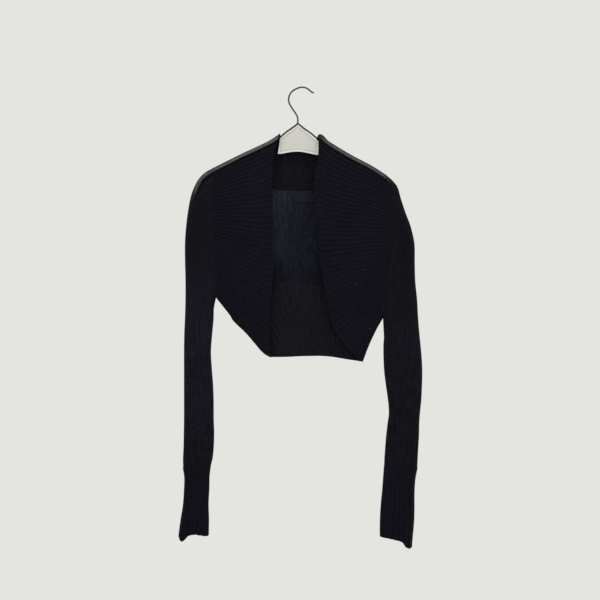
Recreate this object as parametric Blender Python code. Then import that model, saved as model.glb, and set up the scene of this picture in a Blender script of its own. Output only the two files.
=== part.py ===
"""Knitted open-front shrug hanging on a wire hanger.

The garment's front faces -Y, and "left" is its side at -X. The origin lies under the crown of the hanger's
hook, where a rail or a wall hook carries it. The cloth hangs in two layers, front and back, which meet in
rounded folds along the shoulders, the sleeves' edges and the sides. Each piece is laid out flat in X and Z,
lifted onto its layer, and given a wall. Lengths here are in millimetres, and new_object writes metres.
"""

import math
from collections import namedtuple

import bmesh
import bpy
import numpy as np

MM = 0.001
FRONT, BACK = -1, 1

# Cloth
WALL = 2.0
RIB_HEIGHT = 1.1
SEAM_GAP = 0.3
FOLD_ROUNDING = 1.25  # a fold's radius in the flat, as a share of the layer's half depth
ON_FOLD = 0.25  # a point this near a folded edge counts as on it

# Corners of the pieces, in X and Z
NECK_LEFT, NECK_RIGHT = (-38.6, -90.5), (42.0, -92.5)
SHOULDER_LEFT, SHOULDER_RIGHT = (-172.0, -160.5), (174.0, -174.5)
ARMPIT_LEFT, ARMPIT_RIGHT = (-166.0, -418.0), (168.0, -459.0)
CORNER_LEFT, CORNER_RIGHT = (-58.0, -535.5), (128.0, -545.0)

# Lines between the corners: the points that each smooth line passes on its way
RIDGE_LEFT_VIA = ((-64.0, -107.0), (-114.0, -131.0))
RIDGE_RIGHT_VIA = ((62.0, -107.0), (102.0, -131.0), (146.0, -155.5))
SIDE_LEFT_VIA = ((-137.0, -454.0), (-104.0, -491.0), (-74.0, -526.0))
SIDE_RIGHT_VIA = ((153.0, -482.0), (138.0, -515.0))
EDGE_LEFT_VIA = (
    (-45.0, -113.0),
    (-52.0, -145.0),
    (-54.0, -205.0),
    (-52.0, -300.0),
    (-54.0, -390.0),
    (-61.0, -475.0),
)
EDGE_RIGHT_VIA = (
    (41.5, -123.0),
    (34.0, -163.0),
    (28.5, -205.0),
    (37.0, -285.0),
    (45.5, -350.0),
    (55.0, -420.0),
    (76.0, -490.0),
)
NAPE_VIA = ((-27.0, -104.0), (0.0, -110.0), (29.0, -106.0))
HEM_VIA = ((0.0, -534.0), (62.0, -536.5))
WAIST_VIA = ((-90.0, -396.0), (0.0, -387.0), (92.0, -403.0))

# The seam under the neck band: a U from ridge to ridge
NECK_SEAM_LEFT_X, NECK_SEAM_RIGHT_X = -133.0, 137.0
NECK_SEAM_Z = -202.0
NECK_SEAM_POWER = 3.5

# Ribs and grids of the pieces
NECK_RIBS, FRONT_LEFT_RIBS, FRONT_RIGHT_RIBS, HEM_RIBS, CUFF_RIBS = 27, 42, 44, 24, 15
FRONT_COLUMNS, HEM_COLUMNS, NECK_ROWS, BACK_ROWS, SHOULDER_COLUMNS = 5, 6, 7, 14, 3
NECK_ROW_SPACING = 1.6  # above 1, the neck band's rows gather at the shoulder fold
NECK_BAND_INSET = 2.5  # keeps the band's two ends off the point where its seam meets the ridge
BACK_EXTRA_COLUMNS = (0.25, 0.5)  # ribs in from each end of the neck seam, where it rounds the shoulder
SLEEVE_HALF = 11  # steps over half of a sleeve's section
SECTION_FINE_STEPS = 96  # steps over half of a section before its points are picked
SHARP_DEGREES = 40.0

# Half of the garment's depth by height
HalfDepth = namedtuple("HalfDepth", "z depth")
HALF_DEPTHS = (
    HalfDepth(-910.0, 9.5),
    HalfDepth(-860.0, 8.0),
    HalfDepth(-770.0, 7.5),
    HalfDepth(-700.0, 8.0),
    HalfDepth(-540.0, 8.5),
    HalfDepth(-420.0, 10.0),
    HalfDepth(-300.0, 11.0),
    HalfDepth(-160.0, 11.0),
    HalfDepth(-90.0, 10.0),
)

# Sections of the sleeves, from the armhole to the cuff: the upper ones fan round the armpit
Section = namedtuple("Section", "outer_x outer_z inner_x inner_z")
SLEEVE_LEFT = (
    Section(*SHOULDER_LEFT, *ARMPIT_LEFT),
    Section(-186.0, -168.5, -166.4, -420.5),
    Section(-198.5, -180.0, -166.9, -423.0),
    Section(-209.0, -196.0, -167.4, -425.5),
    Section(-216.5, -217.0, -167.9, -428.0),
    Section(-221.5, -243.0, -168.5, -430.5),
    Section(-225.5, -273.0, -169.1, -433.5),
    Section(-228.0, -308.0, -169.7, -437.0),
    Section(-228.0, -345.0, -170.2, -441.0),
    Section(-227.0, -383.0, -170.5, -446.0),
    Section(-227.0, -420.0, -170.5, -453.0),
    Section(-228.0, -457.0, -171.0, -465.0),
    Section(-229.5, -492.0, -173.5, -492.0),
    Section(-230.0, -526.0, -176.0, -526.0),
    Section(-230.0, -560.0, -175.5, -560.0),
    Section(-230.0, -594.0, -173.0, -594.0),
    Section(-230.0, -628.0, -172.0, -628.0),
    Section(-230.0, -660.0, -171.0, -660.0),
    Section(-230.5, -690.0, -169.5, -690.0),
    Section(-231.0, -718.0, -171.5, -718.0),
    Section(-232.0, -740.0, -174.0, -740.0),
    Section(-231.5, -757.0, -177.0, -757.0),
)
SLEEVE_RIGHT = (
    Section(*SHOULDER_RIGHT, *ARMPIT_RIGHT),
    Section(186.0, -185.5, 168.1, -461.5),
    Section(196.0, -199.5, 168.2, -464.0),
    Section(204.0, -221.0, 168.3, -466.5),
    Section(213.0, -248.0, 168.4, -469.0),
    Section(222.0, -276.0, 168.5, -472.0),
    Section(229.0, -310.0, 168.7, -475.5),
    Section(231.5, -347.0, 168.9, -479.5),
    Section(232.5, -385.0, 169.1, -484.0),
    Section(235.0, -422.0, 169.4, -490.0),
    Section(236.5, -458.0, 169.8, -498.0),
    Section(240.0, -492.0, 170.0, -512.0),
    Section(243.5, -528.0, 170.3, -535.0),
    Section(245.5, -562.0, 171.5, -565.0),
    Section(246.0, -594.0, 174.0, -596.0),
    Section(244.5, -624.0, 178.0, -624.0),
    Section(242.0, -648.0, 181.0, -649.0),
    Section(240.5, -670.0, 177.0, -670.0),
    Section(240.0, -694.0, 174.2, -694.0),
    Section(238.5, -718.0, 172.2, -718.0),
    Section(237.5, -739.0, 170.8, -739.0),
    Section(236.5, -757.0, 170.0, -757.0),
)
CUFF_LEFT = (
    Section(*SLEEVE_LEFT[-1]),
    Section(-228.5, -777.0, -179.5, -777.0),
    Section(-229.0, -803.0, -180.0, -803.0),
    Section(-231.0, -832.0, -181.5, -832.0),
    Section(-235.5, -861.0, -180.5, -861.0),
    Section(-240.0, -890.0, -181.0, -890.0),
)
CUFF_RIGHT = (
    Section(*SLEEVE_RIGHT[-1]),
    Section(232.0, -780.0, 168.5, -780.0),
    Section(230.0, -808.0, 166.5, -806.0),
    Section(230.0, -838.0, 163.8, -834.0),
    Section(229.0, -870.0, 162.2, -863.0),
    Section(225.0, -907.0, 162.0, -893.0),
)

# How far the cuffs' wavy edges hang below their last sections, by the share of the way across
EdgeDrop = namedtuple("EdgeDrop", "across drop")
CUFF_EDGE_LEFT = (
    EdgeDrop(0.0, 4.0),
    EdgeDrop(0.1, 11.0),
    EdgeDrop(0.4, -1.0),
    EdgeDrop(0.7, -1.0),
    EdgeDrop(1.0, 3.0),
)
CUFF_EDGE_RIGHT = (
    EdgeDrop(0.0, 8.0),
    EdgeDrop(0.2, 7.0),
    EdgeDrop(0.4, 0.0),
    EdgeDrop(0.7, 2.0),
    EdgeDrop(1.0, 1.0),
)

# The largest folds, as soft troughs (height below 0) and swells along a line in one layer
Fold = namedtuple("Fold", "layer x0 z0 x1 z1 width height")
FOLDS = (
    Fold(FRONT, -199.0, -235.0, -200.0, -400.0, 12.0, -3.0),
    Fold(BACK, -196.0, -225.0, -200.0, -420.0, 13.0, -3.0),
    Fold(FRONT, 199.0, -255.0, 204.0, -430.0, 12.0, -3.5),
    Fold(BACK, 200.0, -245.0, 203.0, -440.0, 13.0, -3.0),
    Fold(FRONT, 184.0, -643.0, 236.0, -676.0, 10.0, -3.5),
    Fold(BACK, 180.0, -655.0, 232.0, -640.0, 10.0, -3.0),
    Fold(FRONT, -176.0, -672.0, -224.0, -650.0, 11.0, -2.5),
    Fold(BACK, -30.0, -225.0, -24.0, -360.0, 14.0, 2.2),
    Fold(BACK, 24.0, -235.0, 18.0, -350.0, 13.0, 1.8),
    Fold(BACK, -2.0, -230.0, -4.0, -365.0, 11.0, -2.0),
    Fold(FRONT, -150.0, -395.0, -95.0, -300.0, 18.0, -2.5),
    Fold(FRONT, 150.0, -425.0, 95.0, -330.0, 18.0, -2.5),
    Fold(BACK, -140.0, -400.0, -95.0, -300.0, 18.0, -2.5),
    Fold(BACK, 142.0, -430.0, 98.0, -320.0, 18.0, -2.5),
)

# Hanger
WIRE_RADIUS = 1.6
WIRE_CLEARANCE = 0.3
HOOK_VIA = (
    (29.8, -8.8),
    (25.6, -7.2),
    (19.2, -2.0),
    (13.0, 1.6),
    (6.4, 2.6),
    (0.0, WIRE_RADIUS),
    (-9.4, -2.6),
    (-15.8, -8.2),
    (-19.6, -15.4),
    (-20.8, -23.2),
    (-18.8, -30.8),
    (-13.8, -39.6),
    (-8.2, -47.8),
    (-3.8, -55.0),
    (-2.4, -61.0),
    (-2.4, -68.0),
)
WIRE_LEFT_BARE = ((-4.6, -72.2), (-14.0, -79.4), (-26.0, -88.2), (-37.0, -96.8))
WIRE_RIGHT_BARE = ((35.0, -101.0), (22.0, -89.8), (9.8, -79.8), (1.7, -73.2))

# The two turns at the hanger's shoulder tips: centre, and start and end angles in degrees
LOOP_RADIUS = 8.0
LOOP_STEPS = 6
Loop = namedtuple("Loop", "x z start end")
LOOP_LEFT = Loop(-181.0, -181.5, 110.0, 270.0)
LOOP_RIGHT = Loop(172.0, -190.5, -90.0, 60.0)

# Where the wire passes under the shoulder folds
WIRE_SHOULDER_X_LEFT = (-62.0, -90.0, -118.0, -146.0, -170.0)
WIRE_SHOULDER_X_RIGHT = (62.0, 88.0, 114.0, 140.0, 162.0)

# Plate
PLATE_DEPTH = 1.6
PLATE_TOP = ((-37.6, -100.4), (-2.4, -74.8), (38.6, -106.4))
PLATE_FOOT_LEFT, PLATE_FOOT_MIDDLE, PLATE_FOOT_RIGHT = (-42.4, -132.0), (-2.6, -127.0), (38.4, -133.4)
PLATE_FOOT_STEPS = 5  # for each half of the arch

# Label, on the inside of the back panel
LABEL_LEFT_X, LABEL_RIGHT_X, LABEL_TOP_Z, LABEL_FOOT_Z = -9.0, 33.0, -204.5, -225.0
LABEL_DEPTH, LABEL_CLEARANCE = 0.8, 0.7
LABEL_STEPS = 6

Finish = namedtuple("Finish", "colour roughness metallic")
RIB_KNIT = Finish((0.0072, 0.0068, 0.0105, 1.0), 0.92, 0.0)
PLAIN_KNIT = Finish((0.0085, 0.0085, 0.0125, 1.0), 0.95, 0.0)
SATIN = Finish((0.006, 0.006, 0.007, 1.0), 0.5, 0.0)
DARK_STEEL = Finish((0.16, 0.15, 0.145, 1.0), 0.32, 1.0)
WHITE_PLASTIC = Finish((0.78, 0.77, 0.72, 1.0), 0.45, 0.0)


def smooth_line(start, via, end, steps=8):
    """A line in X and Z through all the points, rounded between them as a Catmull-Rom curve."""
    points = np.array([start, *via, end], float)
    padded = np.vstack([2 * points[0] - points[1], points, 2 * points[-1] - points[-2]])
    t = np.linspace(0.0, 1.0, steps, endpoint=False)[:, None]
    spans = []
    for a, b, c, d in zip(padded, padded[1:], padded[2:], padded[3:]):
        square, cube = 2 * a - 5 * b + 4 * c - d, 3 * b - a - 3 * c + d
        spans.append(b + ((c - a) * t + square * t**2 + cube * t**3) / 2)
    return np.vstack([*spans, points[-1:]])


def along(line, shares):
    """The points at these shares of a line's length."""
    steps = np.linalg.norm(np.diff(line, axis=0), axis=1)
    length = np.concatenate([[0.0], np.cumsum(steps)])
    wanted = np.asarray(shares) * length[-1]
    return np.stack([np.interp(wanted, length, line[:, k]) for k in range(line.shape[1])], axis=1)


RIDGE_LEFT = smooth_line(NECK_LEFT, RIDGE_LEFT_VIA, SHOULDER_LEFT)
RIDGE_RIGHT = smooth_line(NECK_RIGHT, RIDGE_RIGHT_VIA, SHOULDER_RIGHT)
SIDE_LEFT = smooth_line(ARMPIT_LEFT, SIDE_LEFT_VIA, CORNER_LEFT)
SIDE_RIGHT = smooth_line(ARMPIT_RIGHT, SIDE_RIGHT_VIA, CORNER_RIGHT)
NAPE = smooth_line(NECK_LEFT, NAPE_VIA, NECK_RIGHT)
WAIST = smooth_line(ARMPIT_LEFT, WAIST_VIA, ARMPIT_RIGHT)


def outlines():
    """The folded edges, as (line, hand): the cloth lies to a line's left where hand is 1, else right."""
    found = []
    for ridge, sleeve, cuff, side_line, hand in (
        (RIDGE_LEFT, SLEEVE_LEFT, CUFF_LEFT, SIDE_LEFT, 1),
        (RIDGE_RIGHT, SLEEVE_RIGHT, CUFF_RIGHT, SIDE_RIGHT, -1),
    ):
        rows = np.array([*sleeve[1:], *cuff[1:]])
        top = np.array(sleeve[0])
        found.append((np.vstack([ridge, rows[:, :2]]), hand))
        found.append((np.vstack([top[None, 2:], rows[:, 2:]]), -hand))
        found.append((side_line, hand))
    return found


def fold_segments():
    """Every straight stretch of the folded edges: start, end and the direction into the cloth."""
    starts, ends, inward = [], [], []
    for line, hand in outlines():
        way = np.diff(line, axis=0)
        way /= np.linalg.norm(way, axis=1)[:, None]
        starts.append(line[:-1])
        ends.append(line[1:])
        inward.append(hand * np.stack([-way[:, 1], way[:, 0]], axis=1))
    return np.vstack(starts), np.vstack(ends), np.vstack(inward)


FOLD_STARTS, FOLD_ENDS, FOLD_INWARD = fold_segments()


def nearest_fold(flat):
    """For a piece's points in X and Z, the distance to the nearest folded edge and the way from it."""
    run = FOLD_ENDS - FOLD_STARTS
    offset = flat[:, None, :] - FOLD_STARTS[None]
    share = np.clip((offset * run).sum(2) / (run**2).sum(1), 0.0, 1.0)
    gap = offset - share[..., None] * run
    distance = np.linalg.norm(gap, axis=2)
    index = distance.argmin(axis=1)
    rows = np.arange(len(flat))
    near, away = distance[rows, index], gap[rows, index]
    # On a fold, or where folds meet, it is the stretch that faces the piece's middle.
    for i in np.flatnonzero(near < ON_FOLD):
        touching = np.flatnonzero(distance[i] < 2 * ON_FOLD)
        away[i] = FOLD_INWARD[touching[(FOLD_INWARD[touching] @ (flat.mean(axis=0) - flat[i])).argmax()]]
    return near, away / np.linalg.norm(away, axis=1)[:, None]


def relief(flat, layer):
    """How far the folds of one layer raise it at these points."""
    raised = np.zeros(len(flat))
    for fold in FOLDS:
        if fold.layer != layer:
            continue
        start, end = np.array([fold.x0, fold.z0]), np.array([fold.x1, fold.z1])
        run = end - start
        share = ((flat - start) @ run) / (run @ run)
        across = np.linalg.norm(flat - start - share[:, None] * run, axis=1)
        fade = np.clip(1.0 - np.abs(2.0 * share - 1.0) ** 3, 0.0, 1.0)
        raised += fold.height * fade * np.exp(-((across / fold.width) ** 2))
    return raised


def lift(flat, layer, split=True):
    """Flat points (n, 2) as points and outward normals (n, 3) on a layer, split along the folds or not."""
    near, away = nearest_fold(flat)
    half = np.interp(flat[:, 1], [row.z for row in HALF_DEPTHS], [row.depth for row in HALF_DEPTHS])
    radius = FOLD_ROUNDING * half
    turn = np.arccos(np.clip(1.0 - near / radius, 0.0, 1.0))
    depth = half * np.sin(turn) + relief(flat, layer) * np.sin(turn) ** 2 + (SEAM_GAP / 2 if split else 0.0)
    points = np.stack([flat[:, 0], layer * depth, flat[:, 1]], axis=1)
    out = half * np.cos(turn)
    normals = np.stack([-out * away[:, 0], layer * radius * np.sin(turn), -out * away[:, 1]], axis=1)
    return points, normals / np.linalg.norm(normals, axis=1)[:, None]


def keep_in_plane(normals, crossing):
    """The normals turned into the plane that crossing, one direction or one for each normal, is square to."""
    normals = normals - (normals * crossing).sum(axis=-1, keepdims=True) * crossing
    return normals / np.linalg.norm(normals, axis=-1, keepdims=True)


def square_to(start, end):
    """The direction in X and Z that is square to the way from start to end, as X, Y and Z."""
    run = np.subtract(end, start)
    return np.array([-run[1], 0.0, run[0]]) / np.hypot(*run)


def square_to_line(line):
    """The same for each point of a line in X and Z."""
    way = np.gradient(line, axis=0)
    way /= np.linalg.norm(way, axis=1)[:, None]
    return np.stack([-way[:, 1], np.zeros(len(line)), way[:, 0]], axis=1)


def new_object(name, mesh, finish):
    """Adds a bmesh, whose lengths are in millimetres, as one object with its own material."""
    bmesh.ops.scale(mesh, vec=(MM, MM, MM), verts=mesh.verts)
    bmesh.ops.recalc_face_normals(mesh, faces=mesh.faces)
    data = bpy.data.meshes.new(name)
    mesh.to_mesh(data)
    mesh.free()
    data.shade_smooth()
    data.set_sharp_from_angle(angle=math.radians(SHARP_DEGREES))
    return add_object(name, data, finish)


def add_object(name, data, finish):
    """Links an object to the garment's collection and gives it a Principled material."""
    obj = bpy.data.objects.new(name, data)
    GARMENT.objects.link(obj)
    material = bpy.data.materials.new(name + "_finish")
    material.use_nodes = True
    shader = material.node_tree.nodes["Principled BSDF"]
    shader.inputs["Base Color"].default_value = finish.colour
    shader.inputs["Roughness"].default_value = finish.roughness
    shader.inputs["Metallic"].default_value = finish.metallic
    material.diffuse_color = finish.colour
    data.materials.append(material)
    return obj


def new_wall(name, outer, inner, finish, around=False):
    """A closed wall between two grids of points. A tube's columns run around."""
    rows, columns = outer.shape[:2]
    mesh = bmesh.new()
    out = [[mesh.verts.new(point) for point in row] for row in outer]
    into = [[mesh.verts.new(point) for point in row] for row in inner]
    last = columns if around else columns - 1
    for j in range(last):
        k = (j + 1) % columns
        for i in range(rows - 1):
            mesh.faces.new((out[i][j], out[i][k], out[i + 1][k], out[i + 1][j]))
            mesh.faces.new((into[i][j], into[i + 1][j], into[i + 1][k], into[i][k]))
        mesh.faces.new((out[0][k], out[0][j], into[0][j], into[0][k]))
        mesh.faces.new((out[-1][j], out[-1][k], into[-1][k], into[-1][j]))
    if not around:
        for i in range(rows - 1):
            mesh.faces.new((out[i][0], out[i + 1][0], into[i + 1][0], into[i][0]))
            mesh.faces.new((out[i + 1][-1], out[i][-1], into[i][-1], into[i + 1][-1]))
    return new_object(name, mesh, finish)


def lift_grid(flat, layer):
    """A grid of flat points (rows, columns, 2) as grids of points and normals."""
    points, normals = lift(flat.reshape(-1, 2), layer)
    return points.reshape(*flat.shape[:2], 3), normals.reshape(*flat.shape[:2], 3)


def between(first, second, shares):
    """A grid with a row for each pair of points and a column for each share of the way between them."""
    shares = np.asarray(shares)[None, :, None]
    return first[:, None, :] * (1 - shares) + second[:, None, :] * shares


def build_front(name, hand, edge, shoulder, armpit, folds, ribs):
    """A ribbed front. Each rib runs from the free edge to the armhole, and they fan out down the garment."""
    shares = np.linspace(0.0, 1.0, 2 * ribs + 1)
    columns = np.linspace(0.0, 1.0, FRONT_COLUMNS + 1)
    plane = hand * square_to(shoulder, armpit)
    seam = along(np.array([shoulder, armpit]), shares) + SEAM_GAP / 2 * plane[[0, 2]]
    flat = between(along(edge, shares), seam, columns)
    # The first and last ribs lie along the folded shoulder and side.
    for row, fold in zip((0, -1), folds):
        flat[row, 1:-1] = along(fold, columns)[1:-1]
    points, normals = lift_grid(flat, FRONT)
    normals[:, -1] = keep_in_plane(normals[:, -1], plane)
    crest = RIB_HEIGHT * (np.arange(len(shares)) % 2)[:, None, None]
    return new_wall(name, points + crest * normals, points - WALL * normals, RIB_KNIT)


def build_fronts():
    edge_left = smooth_line(NECK_LEFT, EDGE_LEFT_VIA, CORNER_LEFT)
    folds_left = (RIDGE_LEFT, SIDE_LEFT[::-1])
    build_front("front_left", 1, edge_left, SHOULDER_LEFT, ARMPIT_LEFT, folds_left, FRONT_LEFT_RIBS)
    edge_right = smooth_line(NECK_RIGHT, EDGE_RIGHT_VIA, CORNER_RIGHT)
    folds_right = (RIDGE_RIGHT, SIDE_RIGHT[::-1])
    build_front("front_right", -1, edge_right, SHOULDER_RIGHT, ARMPIT_RIGHT, folds_right, FRONT_RIGHT_RIBS)


def ridge_z(x):
    """Height of the shoulder fold, or of the free edge at the nape between the two shoulders."""
    line = np.vstack([RIDGE_LEFT[::-1], NAPE[1:-1], RIDGE_RIGHT])
    return np.interp(x, line[:, 0], line[:, 1])


def neck_seam_z(x):
    """Height of the seam under the neck band."""
    middle = (NECK_SEAM_LEFT_X + NECK_SEAM_RIGHT_X) / 2
    reach = (NECK_SEAM_RIGHT_X - NECK_SEAM_LEFT_X) / 2
    share = np.clip((np.asarray(x) - middle) / reach, -1.0, 1.0)
    ends = np.where(share < 0, ridge_z(NECK_SEAM_LEFT_X), ridge_z(NECK_SEAM_RIGHT_X))
    return NECK_SEAM_Z + (ends - NECK_SEAM_Z) * np.abs(share) ** NECK_SEAM_POWER


def beside_neck_seam(x, way):
    """The seam's height, moved half a gap up (way 1) or down (way -1), square to the seam."""
    slope = neck_seam_z(x + 0.5) - neck_seam_z(x - 0.5)  # over a millimetre
    return neck_seam_z(x) + way * SEAM_GAP / 2 * np.sqrt(1 + slope**2)


def build_neck_band():
    """The band at the back of the neck, with upright ribs."""
    left, right = NECK_SEAM_LEFT_X + NECK_BAND_INSET, NECK_SEAM_RIGHT_X - NECK_BAND_INSET
    x = np.linspace(left, right, 2 * NECK_RIBS + 1)
    top = np.stack([x, ridge_z(x)], axis=1)
    foot = np.stack([x, beside_neck_seam(x, 1)], axis=1)
    flat = between(top, foot, np.linspace(0.0, 1.0, NECK_ROWS + 1) ** NECK_ROW_SPACING)
    points, normals = lift_grid(flat, BACK)
    crest = RIB_HEIGHT * (np.arange(len(x)) % 2)[:, None, None]
    new_wall("neck_band", points + crest * normals, points - WALL * normals, RIB_KNIT)


def waist_z(x):
    """Height of the seam between the back panel and the hem band."""
    return np.interp(x, WAIST[:, 0], WAIST[:, 1])


def build_back_panel():
    """The plain back, from the shoulders and the neck seam down to the hem band's seam."""
    shoulder_left = np.linspace(SHOULDER_LEFT[0], NECK_SEAM_LEFT_X, SHOULDER_COLUMNS, endpoint=False)
    shoulder_right = np.linspace(SHOULDER_RIGHT[0], NECK_SEAM_RIGHT_X, SHOULDER_COLUMNS, endpoint=False)
    extra = np.array(BACK_EXTRA_COLUMNS)
    ribs = np.sort(np.concatenate([np.arange(NECK_RIBS + 1.0), extra, NECK_RIBS - extra]))
    under_band = np.interp(ribs, [0, NECK_RIBS], [NECK_SEAM_LEFT_X, NECK_SEAM_RIGHT_X])
    top_x = np.concatenate([shoulder_left, under_band, shoulder_right[::-1]])
    seamed = (top_x > NECK_SEAM_LEFT_X) & (top_x < NECK_SEAM_RIGHT_X)
    top_z = np.where(seamed, beside_neck_seam(top_x, -1), ridge_z(top_x))
    foot_x = np.interp(top_x, [top_x[0], top_x[-1]], [ARMPIT_LEFT[0], ARMPIT_RIGHT[0]])
    top = np.stack([top_x, top_z], axis=1)
    foot = np.stack([foot_x, waist_z(foot_x) + SEAM_GAP / 2], axis=1)
    for row, start, end, hand in (
        (0, SHOULDER_LEFT, ARMPIT_LEFT, 1),
        (-1, SHOULDER_RIGHT, ARMPIT_RIGHT, -1),
    ):
        beside = hand * SEAM_GAP / 2 * square_to(start, end)[[0, 2]]
        top[row] += beside
        foot[row] += beside
    shares = 0.5 - 0.5 * np.cos(np.linspace(0.0, math.pi, BACK_ROWS + 1))
    points, normals = lift_grid(between(top, foot, shares), BACK)
    normals[:, -1] = keep_in_plane(normals[:, -1], square_to_line(foot))
    normals[0] = keep_in_plane(normals[0], square_to(SHOULDER_LEFT, ARMPIT_LEFT))
    normals[-1] = keep_in_plane(normals[-1], square_to(SHOULDER_RIGHT, ARMPIT_RIGHT))
    new_wall("back_panel", points, points - WALL * normals, PLAIN_KNIT)


def build_hem_band():
    """The ribbed band across the lower back, its ribs fanning out from the hem."""
    shares = np.linspace(0.0, 1.0, 2 * HEM_RIBS + 1)
    hem = along(smooth_line(CORNER_LEFT, HEM_VIA, CORNER_RIGHT), shares)
    seam_x = ARMPIT_LEFT[0] + (ARMPIT_RIGHT[0] - ARMPIT_LEFT[0]) * shares
    seam = np.stack([seam_x, waist_z(seam_x) - SEAM_GAP / 2], axis=1)
    flat = between(hem, seam, np.linspace(0.0, 1.0, HEM_COLUMNS + 1))
    for row, side_line in ((0, SIDE_LEFT), (-1, SIDE_RIGHT)):
        flat[row, 1:-1] = along(side_line[::-1], np.linspace(0.0, 1.0, HEM_COLUMNS + 1))[1:-1]
    points, normals = lift_grid(flat, BACK)
    normals[:, -1] = keep_in_plane(normals[:, -1], square_to_line(seam))
    crest = RIB_HEIGHT * (np.arange(len(shares)) % 2)[:, None, None]
    new_wall("hem_band", points + crest * normals, points - WALL * normals, RIB_KNIT)


def pick(grid, measure, wanted):
    """The rows of a grid (n, 3) at the wanted values of a measure that grows along it."""
    return np.stack([np.interp(wanted, measure, grid[:, k]) for k in range(3)], axis=1)


def section_ring(section, steps, even):
    """Points and normals round one section of a sleeve, from its outer fold over the front and back.

    Even spacing suits ribs. Otherwise the points gather where the section turns."""
    line = along(np.array([section[:2], section[2:]]), np.linspace(0.0, 1.0, SECTION_FINE_STEPS + 1))
    halves = []
    for layer in (FRONT, BACK):
        points, normals = lift(line, layer, split=False)
        points[[0, -1], 1] = 0.0
        length = np.linalg.norm(np.diff(points, axis=0), axis=1)
        if not even:
            angle = np.arccos(np.clip((normals[1:] * normals[:-1]).sum(1), -1.0, 1.0))
            length = length + angle * length.sum() / math.pi
        measure = np.concatenate([[0.0], np.cumsum(length)])
        wanted = np.linspace(0.0, measure[-1], steps + 1)
        halves.append([pick(grid, measure, wanted) for grid in (points, normals)])
    (front, front_normals), (back, back_normals) = halves
    points = np.vstack([front, back[-2:0:-1]])
    normals = np.vstack([front_normals, back_normals[-2:0:-1]])
    return points, keep_in_plane(normals, square_to(section[:2], section[2:]))


def build_tube(name, sections, steps, finish, ribbed, edge=None):
    """A sleeve or a cuff: a wall through its sections, moved half a gap off the seam at each joined end."""
    grids = [section_ring(section, steps, even=ribbed) for section in sections]
    points = np.array([grid[0] for grid in grids])
    normals = np.array([grid[1] for grid in grids])
    for row, other in ((0, 1), (-1, -2)):
        if row == -1 and edge is not None:
            continue
        crossing = square_to(sections[row][:2], sections[row][2:])
        toward = points[other].mean(axis=0) - points[row].mean(axis=0)
        points[row] += SEAM_GAP / 2 * crossing * np.sign(toward @ crossing)
    if edge is not None:
        outer, inner = np.array(sections[-1][:2]), np.array(sections[-1][2:])
        across = (points[-1][:, [0, 2]] - outer) @ (inner - outer) / ((inner - outer) @ (inner - outer))
        points[-1, :, 2] -= np.interp(across, [row.across for row in edge], [row.drop for row in edge])
    raised = np.zeros(points.shape[:2])
    if ribbed:
        raised[1:] = RIB_HEIGHT * (np.arange(points.shape[1]) % 2)
    return new_wall(name, points + raised[..., None] * normals, points - WALL * normals, finish, around=True)


def build_sleeves():
    build_tube("sleeve_left", SLEEVE_LEFT, SLEEVE_HALF, PLAIN_KNIT, ribbed=False)
    build_tube("sleeve_right", SLEEVE_RIGHT, SLEEVE_HALF, PLAIN_KNIT, ribbed=False)
    build_tube("cuff_left", CUFF_LEFT, CUFF_RIBS, RIB_KNIT, ribbed=True, edge=CUFF_EDGE_LEFT)
    build_tube("cuff_right", CUFF_RIGHT, CUFF_RIBS, RIB_KNIT, ribbed=True, edge=CUFF_EDGE_RIGHT)


def build_neck_label():
    """The label sewn inside the back panel, under the neck seam."""
    x = np.linspace(LABEL_LEFT_X, LABEL_RIGHT_X, LABEL_STEPS + 1)
    top = np.stack([x, np.full_like(x, LABEL_TOP_Z)], axis=1)
    foot = np.stack([x, np.full_like(x, LABEL_FOOT_Z)], axis=1)
    points, normals = lift_grid(between(top, foot, (0.0, 0.5, 1.0)), BACK)
    near = WALL + LABEL_CLEARANCE
    new_wall("neck_label", points - near * normals, points - (near + LABEL_DEPTH) * normals, SATIN)


def loop_points(loop):
    """Points on a turn of the wire."""
    angles = np.radians(np.linspace(loop.start, loop.end, LOOP_STEPS + 1))
    return [(loop.x + LOOP_RADIUS * math.cos(a), loop.z + LOOP_RADIUS * math.sin(a)) for a in angles]


def wire_route():
    """The hanger's one wire: hook, left shoulder, bar and right shoulder, back to the foot of the hook."""
    below = WALL + WIRE_CLEARANCE + WIRE_RADIUS

    def under_ridge(places):
        slope = np.gradient(ridge_z(np.array(places)), places)
        return [(x, float(ridge_z(x)) - below * math.hypot(1.0, s)) for x, s in zip(places, slope)]

    hook = smooth_line(HOOK_VIA[0], HOOK_VIA[1:-1], HOOK_VIA[-1], steps=2)
    left = under_ridge(WIRE_SHOULDER_X_LEFT)
    right = under_ridge(WIRE_SHOULDER_X_RIGHT)[::-1]
    loops = [*loop_points(LOOP_LEFT), *loop_points(LOOP_RIGHT)]
    return [*hook, *WIRE_LEFT_BARE, *left, *loops, *right, *WIRE_RIGHT_BARE]


def build_hanger_wire():
    curve = bpy.data.curves.new("hanger_wire", "CURVE")
    curve.dimensions = "3D"
    curve.bevel_depth = WIRE_RADIUS * MM
    curve.bevel_resolution = 2
    curve.use_fill_caps = True
    route = wire_route()
    spline = curve.splines.new("POLY")
    spline.points.add(len(route) - 1)
    for point, (x, z) in zip(spline.points, route):
        point.co = (x * MM, 0.0, z * MM, 1.0)
    add_object("hanger_wire", curve, DARK_STEEL)


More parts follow.
